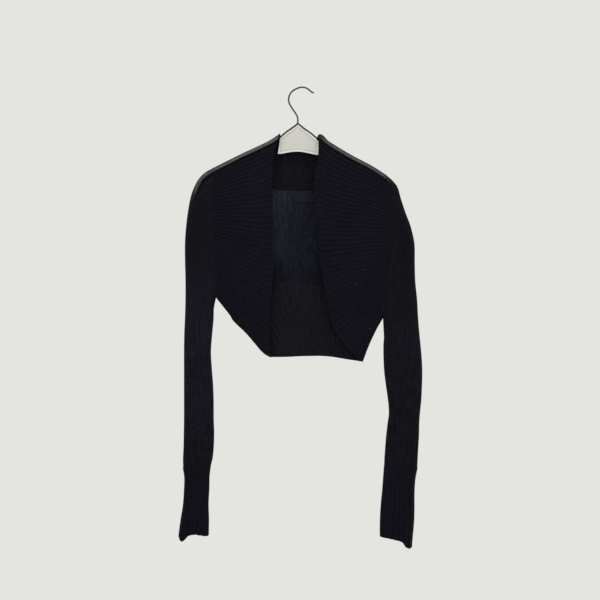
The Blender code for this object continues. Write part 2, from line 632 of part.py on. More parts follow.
def build_hanger_plate():
    """The white plate under the top corner of the hanger, with an arched foot."""
    foot = smooth_line(PLATE_FOOT_RIGHT, (PLATE_FOOT_MIDDLE,), PLATE_FOOT_LEFT, steps=PLATE_FOOT_STEPS)
    outline = [*PLATE_TOP, *foot]
    mesh = bmesh.new()
    face = mesh.faces.new([mesh.verts.new((x, -PLATE_DEPTH / 2, z)) for x, z in outline])
    made = bmesh.ops.extrude_face_region(mesh, geom=[face])
    lifted = [item for item in made["geom"] if isinstance(item, bmesh.types.BMVert)]
    bmesh.ops.translate(mesh, vec=(0.0, PLATE_DEPTH, 0.0), verts=lifted)
    new_object("hanger_plate", mesh, WHITE_PLASTIC)


for leftover in list(bpy.data.objects):
    bpy.data.objects.remove(leftover, do_unlink=True)
GARMENT = bpy.data.collections.new("knitted_shrug_on_hanger")
bpy.context.scene.collection.children.link(GARMENT)

build_fronts()
build_neck_band()
build_back_panel()
build_hem_band()
build_sleeves()
build_neck_label()
build_hanger_wire()
build_hanger_plate()
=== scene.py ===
"""Dresses a knitted open-front shrug and the wire hanger that carries it.

The garment's front faces -Y and "left" is its side at -X. Sizes in the classes are millimetres, stitches are counted
in stitches, and every mesh is written in metres in the row's own frame.
"""

from __future__ import annotations

import logging
import math
from collections.abc import Iterable
from dataclasses import asdict, dataclass, field, replace
from enum import Enum
from functools import reduce

import bmesh
import bpy
import numpy as np
from numpy.linalg import norm
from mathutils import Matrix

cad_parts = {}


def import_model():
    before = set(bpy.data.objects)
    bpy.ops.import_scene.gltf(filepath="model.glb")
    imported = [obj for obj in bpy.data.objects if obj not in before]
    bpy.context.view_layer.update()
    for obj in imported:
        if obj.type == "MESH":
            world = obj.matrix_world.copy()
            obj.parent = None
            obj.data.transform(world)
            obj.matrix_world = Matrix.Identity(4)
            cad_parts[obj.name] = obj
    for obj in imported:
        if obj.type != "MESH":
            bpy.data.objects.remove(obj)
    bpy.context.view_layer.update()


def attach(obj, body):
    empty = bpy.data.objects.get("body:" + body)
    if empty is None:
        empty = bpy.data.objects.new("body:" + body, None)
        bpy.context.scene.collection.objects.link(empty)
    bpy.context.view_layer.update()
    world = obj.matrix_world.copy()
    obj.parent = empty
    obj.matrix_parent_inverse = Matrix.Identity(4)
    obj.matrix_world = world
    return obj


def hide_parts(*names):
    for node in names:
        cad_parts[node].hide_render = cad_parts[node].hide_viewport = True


LOG = logging.getLogger("knitted_shrug")
MM = 0.001
BODY = "root"
SEED = 7
CHUNK = 4000  # points that are measured against a line at once
WALES_PER_RIB = 3.0
CREST_POWER = 0.8  # below 1 for a rib that is rounder than a wave
INNER_RIBS = 0.8  # how high ribs stand on the inside of a wall
RIM_STEPS = 4  # faces from the outside of a wall round its rim
RIM_COURSE = 0.4  # courses of stitches on each of them

Array = np.ndarray
Object = bpy.types.Object
Material = bpy.types.Material
Tree = bpy.types.NodeTree
Node = bpy.types.Node
Socket = bpy.types.NodeSocket
Point = tuple[float, float]
Table = tuple[Point, ...]
Colour = tuple[float, float, float, float]
Numbers = tuple[float, ...]


class Layer(Enum):
    """The two layers of hanging cloth, by the way that they face along Y."""

    FRONT = -1
    BACK = 1


FRONT, BACK = Layer


class Knit(Enum):
    """How a piece is knitted."""

    PLAIN = "plain"
    RIB = "rib"


class Rim(Enum):
    """How an edge of a wall ends, by how far it rounds out in millimetres."""

    SEWN = 0.12
    FREE = 1.0


# ---- lines and numbers


def smooth_line(points: Array | list, steps: int = 12) -> Array:
    """Rounds a line through its points as a Catmull-Rom curve.

    Args:
        points: rows of coordinates, of any length.
        steps: points made for each stretch between two rows.

    Returns:
        The finer rows, ending on the last point.
    """
    points = np.array(points, float)
    padded = np.vstack([2 * points[0] - points[1], points, 2 * points[-1] - points[-2]])
    t = np.linspace(0.0, 1.0, steps, endpoint=False)[:, None]
    spans = []
    for a, b, c, d in zip(padded, padded[1:], padded[2:], padded[3:]):
        square, cube = 2 * a - 5 * b + 4 * c - d, 3 * b - a - 3 * c + d
        spans.append(b + ((c - a) * t + square * t**2 + cube * t**3) / 2)
    return np.vstack([*spans, points[-1:]])


def lengths(line: Array) -> Array:
    """Gives the length of a line up to each of its points."""
    return np.concatenate([[0.0], np.cumsum(norm(np.diff(line, axis=0), axis=1))])


def pick(rows: Array, measure: Array, wanted: Array) -> Array:
    """Reads rows of numbers at the wanted values of a measure that grows along them."""
    return np.stack([np.interp(wanted, measure, column) for column in rows.T], axis=1)


def even_shares(count: int) -> Array:
    """Gives shares from 0 to 1 in so many even steps."""
    return np.linspace(0.0, 1.0, count + 1)


def along(line: Array, shares: Array) -> Array:
    """Picks the points of a line at shares of its length."""
    length = lengths(line)
    return pick(line, length, np.asarray(shares) * length[-1])


def read(table: Table | Array, values: Array | float) -> Array:
    """Reads a table of pairs, each a value and what belongs to it."""
    return np.interp(values, *np.transpose(table))


def chunks(rows: Array) -> list[Array]:
    """Splits rows into runs that fit in memory when each is measured against a whole line."""
    return np.array_split(rows, max(1, len(rows) // CHUNK))


def deepen(flat: Array, depth: Array | float) -> Array:
    """Gives points in X and Z a depth along Y."""
    return np.stack(np.broadcast_arrays(flat[..., 0], depth, flat[..., 1]), axis=-1)


def smoothstep(value: Array, low: float, high: float) -> Array:
    """Goes softly from 0 at low to 1 at high, which may be below low."""
    share = np.clip((value - low) / (high - low), 0.0, 1.0)
    return share * share * (3.0 - 2.0 * share)


def unit(rows: Array) -> Array:
    """Scales vectors to a length of 1."""
    return rows / np.maximum(norm(rows, axis=-1, keepdims=True), 1e-12)


def in_plane(normals: Array, crossing: Array) -> Array:
    """Turns normals into the plane that crossing, one way or one for each normal, is square to."""
    return unit(normals - (normals * crossing).sum(axis=-1, keepdims=True) * crossing)


def square_to(way: Array) -> Array:
    """Gives the ways in X, Y and Z that are square to ways in X and Z."""
    way = unit(np.asarray(way, float))
    return np.stack([-way[..., 1], np.zeros(way.shape[:-1]), way[..., 0]], axis=-1)


def to_line(flat: Array, line: Array) -> Array:
    """Measures how far points lie from a line.

    Args:
        flat: points in X and Z.
        line: the line's points in X and Z.

    Returns:
        One distance for each point.
    """
    run = np.diff(line, axis=0)
    offset = flat[:, None, :] - line[None, :-1]
    share = np.clip((offset * run).sum(2) / np.maximum((run**2).sum(1), 1e-12), 0.0, 1.0)
    return norm(offset - share[..., None] * run, axis=2).min(axis=1)


# ---- the garment's form


@dataclass(frozen=True)
class Fold:
    """A soft trough, or a swell where height is above 0, along a line in one layer."""

    layer: Layer
    start: Point
    end: Point
    width: float
    height: float


@dataclass(frozen=True)
class Side:
    """One side of the garment: its corners, the lines between them and its sleeve.

    A section is outer x, outer z, inner x, inner z. The cuff's first one is the sleeve's last.
    """

    name: str
    hand: int
    neck: Point
    ridge_via: Table
    shoulder: Point
    armpit: Point
    corner: Point
    side_via: Table
    edge_via: Table
    sleeve: tuple[Numbers, ...]
    cuff: tuple[Numbers, ...]
    cuff_edge: Table
    front_ribs: int
    roll_caps: int
    # how much of the painted highlight and dusting on the roll each side keeps near its neck
    nap_shares: Point
    arm_tone: Table

    @property
    def ridge(self) -> Array:
        """The folded shoulder, from the neck out."""
        return smooth_line([self.neck, *self.ridge_via, self.shoulder])

    @property
    def flank(self) -> Array:
        """The folded side, from the armpit down."""
        return smooth_line([self.armpit, *self.side_via, self.corner])

    @property
    def free_edge(self) -> Array:
        """The front's free edge, from the neck down."""
        return smooth_line([self.neck, *self.edge_via, self.corner])

    @property
    def roll(self) -> Array:
        """The line that the lit roll of the shoulder follows, on to the sleeve's cap."""
        return np.vstack([self.ridge, [row[:2] for row in self.sleeve[1 : self.roll_caps]]])

    def arm(self) -> Array:
        """Sections all down the sleeve and its cuff, rounded along their length."""
        return smooth_line([*self.sleeve, *self.cuff], steps=6)


LEFT = Side(
    name="left",
    hand=1,
    neck=(-38.6, -90.5),
    ridge_via=((-64, -106.8), (-114, -130.3)),
    shoulder=(-172, -159.2),
    armpit=(-166, -418),
    corner=(-58, -537.3),
    side_via=((-138, -453.5), (-131, -465.2), (-104.5, -491), (-74, -526.5)),
    edge_via=((-45, -113), (-52, -145), (-54, -205), (-52, -300), (-54, -390), (-61, -475)),
    sleeve=(
        (-172, -159.2, -166, -418), (-186, -166.8, -166.4, -420.5), (-199, -178.8, -166.9, -423),
        (-209, -196, -167.4, -425.5), (-216.5, -217, -167.9, -428), (-221.5, -243, -168.5, -430.5),
        (-225.5, -273, -169.1, -433.5), (-228, -308, -169.7, -437), (-228, -345, -170.2, -441),
        (-227, -383, -170.5, -446), (-227, -420, -170.5, -453), (-228, -457, -171, -465), (-229.5, -492, -173.5, -492),
        (-230, -526, -176, -526), (-230, -560, -174.2, -560), (-230, -594, -171.6, -594), (-230, -628, -170.5, -628),
        (-230, -660, -170.4, -660), (-230.5, -690, -169.5, -690), (-231, -718, -170.4, -718),
        (-232, -740, -172.8, -740), (-231.5, -757, -177, -757),
    ),
    cuff=(
        (-228.5, -777, -179.5, -777), (-229, -803, -180, -803), (-231, -832, -181.5, -832),
        (-235.5, -861, -180.5, -861), (-240, -890, -181, -890),
    ),
    cuff_edge=(
        (0, 5), (0.05, 9), (0.11, 11.5), (0.17, 10.8), (0.22, 8.2), (0.28, 4.4), (0.36, 0), (0.47, -1.2), (0.58, -1.9),
        (0.7, -0.6), (0.8, 0.2), (1, 2.5),
    ),
    front_ribs=42,
    roll_caps=5,
    nap_shares=(0.9, 1),
    arm_tone=((-860, 0.8), (-760, 0.88), (-700, 0.95), (-640, 1.2), (-460, 1.3), (-330, 1.05)),
)

RIGHT = Side(
    name="right",
    hand=-1,
    neck=(37.2, -94.8),
    ridge_via=((40.6, -91.5), (46.2, -92.4), (52.5, -98.2), (62, -107), (102, -131.4), (146, -154.9)),
    shoulder=(174, -172.8),
    armpit=(168, -459),
    corner=(127.6, -546),
    side_via=((154.6, -482), (140.2, -513)),
    edge_via=((38.8, -102), (41.5, -123), (34, -163), (28.5, -205), (37, -285), (45.5, -350), (55, -420), (76, -490)),
    sleeve=(
        (174, -172.8, 168, -459), (187, -184, 168.1, -461.5), (197.4, -198, 168.2, -464), (204, -221, 168.3, -466.5),
        (213, -248, 168.4, -469), (223.4, -276, 168.5, -472), (230.8, -310, 168.7, -475.5),
        (231.5, -347, 168.9, -479.5), (232.5, -385, 169.1, -484), (236.2, -422, 169.4, -490),
        (238.2, -458, 169.8, -498), (241, -492, 168.8, -512), (244.6, -528, 168.8, -535), (246.6, -562, 170.2, -565),
        (246, -594, 174, -596), (244.5, -624, 178, -624), (242, -648, 179.6, -649), (240.5, -670, 177, -670),
        (240, -694, 174.2, -694), (238.5, -718, 172.2, -718), (237.5, -739, 170.8, -739), (236.5, -757, 170, -757),
    ),
    cuff=(
        (232, -780, 168.5, -780), (230, -808, 166.5, -806), (230, -838, 163.8, -834), (229, -870, 162.2, -863),
        (225, -907, 162, -893),
    ),
    cuff_edge=(
        (0, 8.6), (0.07, 10), (0.15, 10), (0.22, 7.8), (0.29, 2), (0.38, -0.8), (0.55, -1), (0.7, -0.9), (0.86, -0.4),
        (1, 1),
    ),
    front_ribs=44,
    roll_caps=2,
    nap_shares=(0.25, 0.8),
    arm_tone=((-880, 0.88), (-760, 0.92), (-640, 1), (-500, 1.15), (-420, 1), (-250, 0.95)),
)

FOLDS = tuple(Fold(*row) for row in (
    # The largest folds, which the solids have too
    (FRONT, (-199, -235), (-200, -400), 12, -3), (BACK, (-196, -225), (-200, -420), 13, -3),
    (FRONT, (199, -255), (204, -430), 12, -3.5), (BACK, (200, -245), (203, -440), 13, -3),
    (FRONT, (184, -643), (236, -676), 10, -3.5), (BACK, (180, -655), (232, -640), 10, -3),
    (FRONT, (-176, -672), (-224, -650), 11, -2.5), (BACK, (-30, -225), (-24, -360), 14, 2.2),
    (BACK, (24, -235), (18, -350), 13, 1.8), (BACK, (-2, -230), (-4, -365), 11, -2),
    (FRONT, (-150, -395), (-95, -300), 18, -2.5), (FRONT, (150, -425), (95, -330), 18, -2.5),
    (BACK, (-140, -400), (-95, -300), 18, -2.5), (BACK, (142, -430), (98, -320), 18, -2.5),
    # Drags from the armpits and down the fronts
    (FRONT, (-160, -408), (-112, -345), 8, -1.1), (FRONT, (-150, -428), (-84, -378), 7, -1),
    (FRONT, (-126, -460), (-72, -418), 7, -0.8), (FRONT, (-140, -262), (-144, -392), 20, -1.6),
    (FRONT, (-104, -170), (-112, -280), 12, 0.9), (FRONT, (96, -380), (127, -490), 9, -2.2),
    (FRONT, (52, -300), (64, -436), 8, -1.4), (FRONT, (162, -446), (120, -395), 8, -1),
    (FRONT, (112, -190), (128, -300), 13, 0.9),
    # Soft creases of the sleeves
    (FRONT, (-172, -442), (-216, -478), 8, -1.5), (FRONT, (-207, -480), (-199, -630), 9, -1.5),
    (FRONT, (-228, -628), (-180, -652), 6, -1.3), (FRONT, (-226, -672), (-178, -694), 6, -1.2),
    (FRONT, (-224, -722), (-180, -706), 6, -1), (FRONT, (232, -502), (180, -546), 7, -1.5),
    (FRONT, (240, -560), (186, -592), 7, -1.2), (FRONT, (240, -606), (184, -634), 6, -1.4),
    (FRONT, (238, -694), (182, -712), 6, -1.1), (BACK, (-226, -640), (-178, -668), 7, -1.4),
    (BACK, (236, -600), (184, -624), 7, -1.4), (BACK, (-160, -250), (-60, -216), 16, -1.2),
    (BACK, (160, -262), (70, -216), 16, -1.2),
))


@dataclass(frozen=True)
class Form:
    """The surface that all the cloth lies on: two layers that meet in rounded folds."""

    sides: tuple[Side, Side] = (LEFT, RIGHT)
    folds: tuple[Fold, ...] = FOLDS
    wall: float = 2.0
    seam_gap: float = 0.3
    rounding: float = 1.25
    on_fold: float = 0.25
    ripple: float = 0.35
    ripples: int = 5
    ripple_length: float = 34.0
    ripple_step: float = 17.0
    ripple_flatness: float = 0.6
    ripple_bend: float = 0.7
    bend_length: float = 1.9
    nape_via: Table = ((-27, -104), (0, -110), (29, -106))
    hem_via: Table = ((-28, -537.2), (2, -535.6), (40, -534.8), (66, -536.6), (100, -542))
    waist_via: Table = ((-90, -396), (0, -387), (92, -403))
    neck_seam_x: Point = (-133.0, 137.0)
    neck_seam_z: float = -202.0
    neck_seam_power: float = 3.5
    half_depths: Table = (
        (-910, 9.5), (-860, 8), (-770, 7.5), (-700, 8), (-540, 8.5), (-420, 10), (-300, 11), (-160, 11), (-90, 10),
    )
    roll_relief: Table = ((0, 0), (3, -0.6), (5.8, 0.5), (8.5, 0.2), (12, -1.5), (15.5, 0))
    # painted highlight with a dusting: the grey-brown lit strip along the rolled shoulders, by distance from the roll
    roll_nap: Table = ((0, 0.22), (3, 0.16), (5.2, 1), (7.6, 0.95), (10.4, 0))
    # painted shade: near-black in the crease under the rolled shoulder, by distance from the roll
    roll_tone: Table = ((0, 1), (10, 1), (11.8, 0.12), (13.2, 0.2), (15.2, 1))
    roll_end: Point = (2.0, 24.0)
    # where the painted highlight and dusting reach: the front layer, and less near the neck
    nap_depth: Point = (2.5, 0.5)
    nap_reach: Point = (8.0, 24.0)
    stretches: dict[str, Array] = field(default_factory=dict)

    def __post_init__(self) -> None:
        """Lists every straight stretch of the folded edges, with its way into the cloth."""
        starts, ends, inward = [], [], []
        for side in self.sides:
            arm = side.arm()
            ridge = np.vstack([side.ridge, arm[1:, :2]])
            for line, hand in ((ridge, side.hand), (arm[:, 2:], -side.hand), (side.flank, side.hand)):
                way = unit(np.diff(line, axis=0))
                starts.append(line[:-1])
                ends.append(line[1:])
                inward.append(hand * square_to(way)[:, [0, 2]])
        self.stretches.update(start=np.vstack(starts), end=np.vstack(ends), inward=np.vstack(inward))

    @property
    def nape(self) -> Array:
        """The free edge at the back of the neck."""
        return smooth_line([self.sides[0].neck, *self.nape_via, self.sides[1].neck])

    @property
    def hem(self) -> Array:
        """The free edge of the lower back."""
        return smooth_line([self.sides[0].corner, *self.hem_via, self.sides[1].corner])

    def ridge_z(self, x: Array) -> Array:
        """Gives the height of the shoulder folds, and of the nape between them."""
        line = np.vstack([self.sides[0].ridge[::-1], self.nape[1:-1], self.sides[1].ridge])
        return read(line, x)

    def waist_z(self, x: Array) -> Array:
        """Gives the height of the seam above the hem band."""
        line = smooth_line([self.sides[0].armpit, *self.waist_via, self.sides[1].armpit])
        return read(line, x)

    def seam_z(self, x: Array) -> Array:
        """Gives the height of the U-shaped seam under the neck band.

        Args:
            x: places across the back.

        Returns:
            One height for each, up to the shoulder folds at the seam's ends.
        """
        low, high = self.neck_seam_x
        share = np.clip((np.asarray(x) - (low + high) / 2) / ((high - low) / 2), -1.0, 1.0)
        ends = np.where(share < 0, self.ridge_z(low), self.ridge_z(high))
        return self.neck_seam_z + (ends - self.neck_seam_z) * np.abs(share) ** self.neck_seam_power

    def beside_seam(self, x: Array, way: int) -> Array:
        """Gives the neck seam's height, half a gap up (way 1) or down (way -1)."""
        slope = self.seam_z(x + 0.5) - self.seam_z(x - 0.5)
        return self.seam_z(x) + way * self.seam_gap / 2 * np.sqrt(1 + slope**2)

    def nearest_fold(self, flat: Array, middle: Array) -> tuple[Array, Array]:
        """Finds the folded edge next to each point of one piece.

        Args:
            flat: points of the piece in X and Z.
            middle: the piece's own middle, which the cloth beside a fold lies towards.

        Returns:
            The distances, and the ways from the fold to the points.
        """
        start, end, inward = self.stretches.values()
        run = end - start
        offset = flat[:, None, :] - start[None]
        share = np.clip((offset * run).sum(2) / (run**2).sum(1), 0.0, 1.0)
        gap = offset - share[..., None] * run
        distance = norm(gap, axis=2)
        rows = np.arange(len(flat))
        index = distance.argmin(axis=1)
        near, away = distance[rows, index], gap[rows, index]
        for i in np.flatnonzero(near < self.on_fold):
            touching = np.flatnonzero(distance[i] < 2 * self.on_fold)
            away[i] = inward[touching[(inward[touching] @ (middle - flat[i])).argmax()]]
        return near, unit(away)

    def relief(self, flat: Array, layer: Layer) -> Array:
        """Adds up the folds and a slow ripple of one layer.

        Args:
            flat: points in X and Z.
            layer: the layer that they lie on.

        Returns:
            How far each point is raised.
        """
        raised = np.zeros(len(flat))
        for fold in self.folds:
            if fold.layer is not layer:
                continue
            run = np.subtract(fold.end, fold.start)
            share = ((flat - fold.start) @ run) / (run @ run)
            across = norm(flat - fold.start - share[:, None] * run, axis=1)
            fade = np.clip(1.0 - np.abs(2.0 * share - 1.0) ** 3, 0.0, 1.0)
            raised += fold.height * fade * np.exp(-((across / fold.width) ** 2))
        phases = np.random.default_rng(SEED + layer.value).uniform(0.0, math.tau, (self.ripples, 3))
        for k, (phase, turn, shift) in enumerate(phases):
            length = self.ripple_length + self.ripple_step * k
            way = np.array([math.cos(turn), self.ripple_flatness * math.sin(turn)])
            bend = self.ripple_bend * np.sin(flat[:, 1] / (self.bend_length * length) + shift)
            raised += self.ripple * np.sin(flat @ way * math.tau / length + phase + bend)
        return raised

    def lift(self, flat: Array, layer: Layer, split: bool = True) -> tuple[Array, Array]:
        """Puts flat points onto a layer.

        Args:
            flat: points in X and Z, as rows or as a grid.
            layer: the layer to put them on.
            split: whether the piece parts along the folds from the one on the other layer.

        Returns:
            The points and their outward normals, in X, Y and Z.
        """
        shape = flat.shape[:-1]
        flat = flat.reshape(-1, 2)
        found = [self.nearest_fold(part, flat.mean(axis=0)) for part in chunks(flat)]
        near, away = (np.concatenate(parts) for parts in zip(*found))
        half = read(self.half_depths, flat[:, 1])
        radius = self.rounding * half
        turn = np.arccos(np.clip(1.0 - near / radius, 0.0, 1.0))
        depth = half * np.sin(turn) + self.relief(flat, layer) * np.sin(turn) ** 2
        if layer is FRONT:
            depth += self.roll_fade(flat) * read(self.roll_relief, self.off_roll(flat))
        depth += self.seam_gap / 2 if split else 0.0
        points = deepen(flat, layer.value * depth)
        normals = deepen(-(half * np.cos(turn))[:, None] * away, layer.value * radius * np.sin(turn))
        return points.reshape(*shape, 3), unit(normals).reshape(*shape, 3)

    def off_roll(self, flat: Array) -> Array:
        """Measures how far points in X and Z lie from the tops of the shoulders."""
        found = [np.minimum(*(to_line(part, side.roll) for side in self.sides)) for part in chunks(flat)]
        return np.concatenate(found)

    def roll_fade(self, flat: Array) -> Array:
        """Gives 1 along the rolled shoulders, going to 0 at their outer ends."""
        ends = [smoothstep(norm(flat - side.roll[-1], axis=1), *self.roll_end) for side in self.sides]
        return np.minimum(*ends)

    def roll_marks(self, points: Array) -> tuple[Array, Array]:
        """Gives the dusting with its painted highlight, and the painted shade, of the rolled shoulders.

        Args:
            points: a grid of points in X, Y and Z.

        Returns:
            Two grids: 1 where the dusting and painted highlight are fullest, and 0 where the cloth is in deep painted
                shade.
        """
        flat = points.reshape(-1, 3)[:, [0, 2]]
        off = self.off_roll(flat).reshape(points.shape[:2])
        # the tone here is painted shade in the crease under the roll
        nap, tone = read(self.roll_nap, off), read(self.roll_tone, off)
        front = smoothstep(points[..., 1], *self.nap_depth) * self.roll_fade(flat).reshape(off.shape)
        for side in self.sides:
            share = np.interp(norm(flat - side.neck, axis=1), self.nap_reach, side.nap_shares)
            nap = nap * np.where(flat[:, 0] * side.hand < 0.0, share, 1.0).reshape(off.shape)
        return nap * front, 1.0 - (1.0 - tone) * front


# ---- node trees


class TreeKind(Enum):
    """The two kinds of node tree, each with the type of socket that it puts out."""

    SHAPE = ("GeometryNodeTree", "NodeSocketGeometry")
    FINISH = ("ShaderNodeTree", "NodeSocketFloat")


GEOMETRY = "NodeSocketGeometry"
MATERIAL = "NodeSocketMaterial"
WHOLE_NUMBER = "NodeSocketInt"
VECTOR = "NodeSocketVector"


@dataclass(frozen=True)
class Graph:
    """Adds nodes and links to one node tree."""

    tree: Tree

    def feed(self, target: Socket, value: object) -> None:
        """Gives an input its value.

        Args:
            target: the input.
            value: a socket, a node whose first output is meant, or a plain value.
        """
        value = value.outputs[0] if isinstance(value, Node) else value
        if isinstance(value, Socket):
            self.tree.links.new(value, target)
        else:
            target.default_value = value

    def node(self, kind: str, given: dict[str | int, object] | None = None, **settings: object) -> Node:
        """Adds a node.

        Args:
            kind: Blender's name for it.
            given: what its inputs are fed, by their names or places.
            settings: the node's own properties.

        Returns:
            The node.
        """
        made = self.tree.nodes.new(kind)
        for name, value in settings.items():
            setattr(made, name, value)
        for place, value in (given or {}).items():
            self.feed(made.inputs[place], value)
        return made

    def math(self, operation: str, *values: object) -> Socket:
        """Adds a Math node and gives its result."""
        return self.node("ShaderNodeMath", dict(enumerate(values)), operation=operation).outputs[0]

    def times(self, *values: object) -> Socket:
        """Multiplies values, from the first on."""
        return reduce(lambda product, value: self.math("MULTIPLY", product, value), values)

    def less(self, value: object, taken: object) -> Socket:
        """Takes one value from another."""
        return self.math("SUBTRACT", value, taken)

    def plus(self, value: object, added: object) -> Socket:
        """Adds two values."""
        return self.math("ADD", value, added)

    def on_line(self, value: object, slope: float, start: object) -> Socket:
        """Gives start plus slope times the value."""
        return self.math("MULTIPLY_ADD", value, slope, start)

    def scaled(self, vector: object, factor: object) -> Socket:
        """Gives a vector, or a colour, times a factor."""
        start = vector[:3] if isinstance(vector, tuple) else vector
        return self.node("ShaderNodeVectorMath", {0: start, "Scale": factor}, operation="SCALE").outputs[0]

    def remap(self, value: object, low: float, high: float, to_low: float, to_high: float) -> Socket:
        """Adds a clamped Map Range node and gives its result."""
        return self.node("ShaderNodeMapRange", dict(enumerate((value, low, high, to_low, to_high)))).outputs[0]

    def noise(self, where: object, scale: object, detail: float = 3.0) -> Socket:
        """Adds a Noise Texture node and gives its value."""
        return self.node("ShaderNodeTexNoise", {"Vector": where, "Scale": scale, "Detail": detail}).outputs[0]

    def patches(self, where: object, scale: float, low: float, high: float, detail: float = 3.0) -> Socket:
        """Gives soft patches that change between two values over the surface."""
        return self.remap(self.noise(where, scale, detail), 0.3, 0.7, low, high)

    def mix(self, share: object, first: object, second: object) -> Socket:
        """Adds a Mix node for colours and gives its result."""
        return self.node("ShaderNodeMix", {0: share, 6: first, 7: second}, data_type="RGBA").outputs[2]

    def carried(self, name: str) -> Socket:
        """Reads a number that the mesh carries, in a material."""
        return self.node("ShaderNodeAttribute", attribute_name=name).outputs["Fac"]

    def named(self, name: str, data_type: str = "FLOAT") -> Socket:
        """Reads an attribute that the mesh carries, in a geometry tree."""
        return self.node("GeometryNodeInputNamedAttribute", {"Name": name}, data_type=data_type).outputs["Attribute"]

    def bump(self, height: Socket, distance: float, strength: float) -> Node:
        """Adds a Bump node for a height from 0 to 1 that is worth a distance in metres."""
        return self.node("ShaderNodeBump", {"Strength": strength, "Distance": distance, "Height": height})

    def paint(self, shader: Node, **values: object) -> None:
        """Feeds a shader's inputs, by their labels with _ for a space."""
        for label, value in values.items():
            self.feed(shader.inputs[label.replace("_", " ")], value)


def as_key(label: str) -> str:
    """Turns a socket's label into the name of an argument."""
    return label.lower().replace(" ", "_")


def new_tree(kind: TreeKind, name: str, inputs: dict[str, object], *outputs: str) -> tuple[Graph, dict, dict]:
    """Makes an empty node group with named sockets.

    Args:
        kind: what the tree makes.
        name: the group's name.
        inputs: a socket type or a plain number for each input's name.
        outputs: the outputs' names.

    Returns:
        The graph, the sockets that the inputs come from, and the ones that the outputs go to.
    """
    tree = bpy.data.node_groups.new(name, kind.value[0])
    for label, value in inputs.items():
        is_type = isinstance(value, str)
        socket = tree.interface.new_socket(label, in_out="INPUT", socket_type=value if is_type else "NodeSocketFloat")
        if not is_type:
            socket.default_value = value
    for label in outputs:
        tree.interface.new_socket(label, in_out="OUTPUT", socket_type=kind.value[1])
    graph = Graph(tree)
    given, made = graph.node("NodeGroupInput").outputs, graph.node("NodeGroupOutput").inputs
    return graph, {s.name: s for s in given if s.name}, {s.name: s for s in made if s.name}


@dataclass
class Shelf:
    """Keeps node trees, each built by its own method when it is first asked for."""

    made: dict[str, Tree] = field(default_factory=dict)

    def get(self, name: str) -> Tree:
        """Gives the tree that the method of that name builds."""
        self.made[name] = self.made.get(name) or getattr(self, name)()
        return self.made[name]


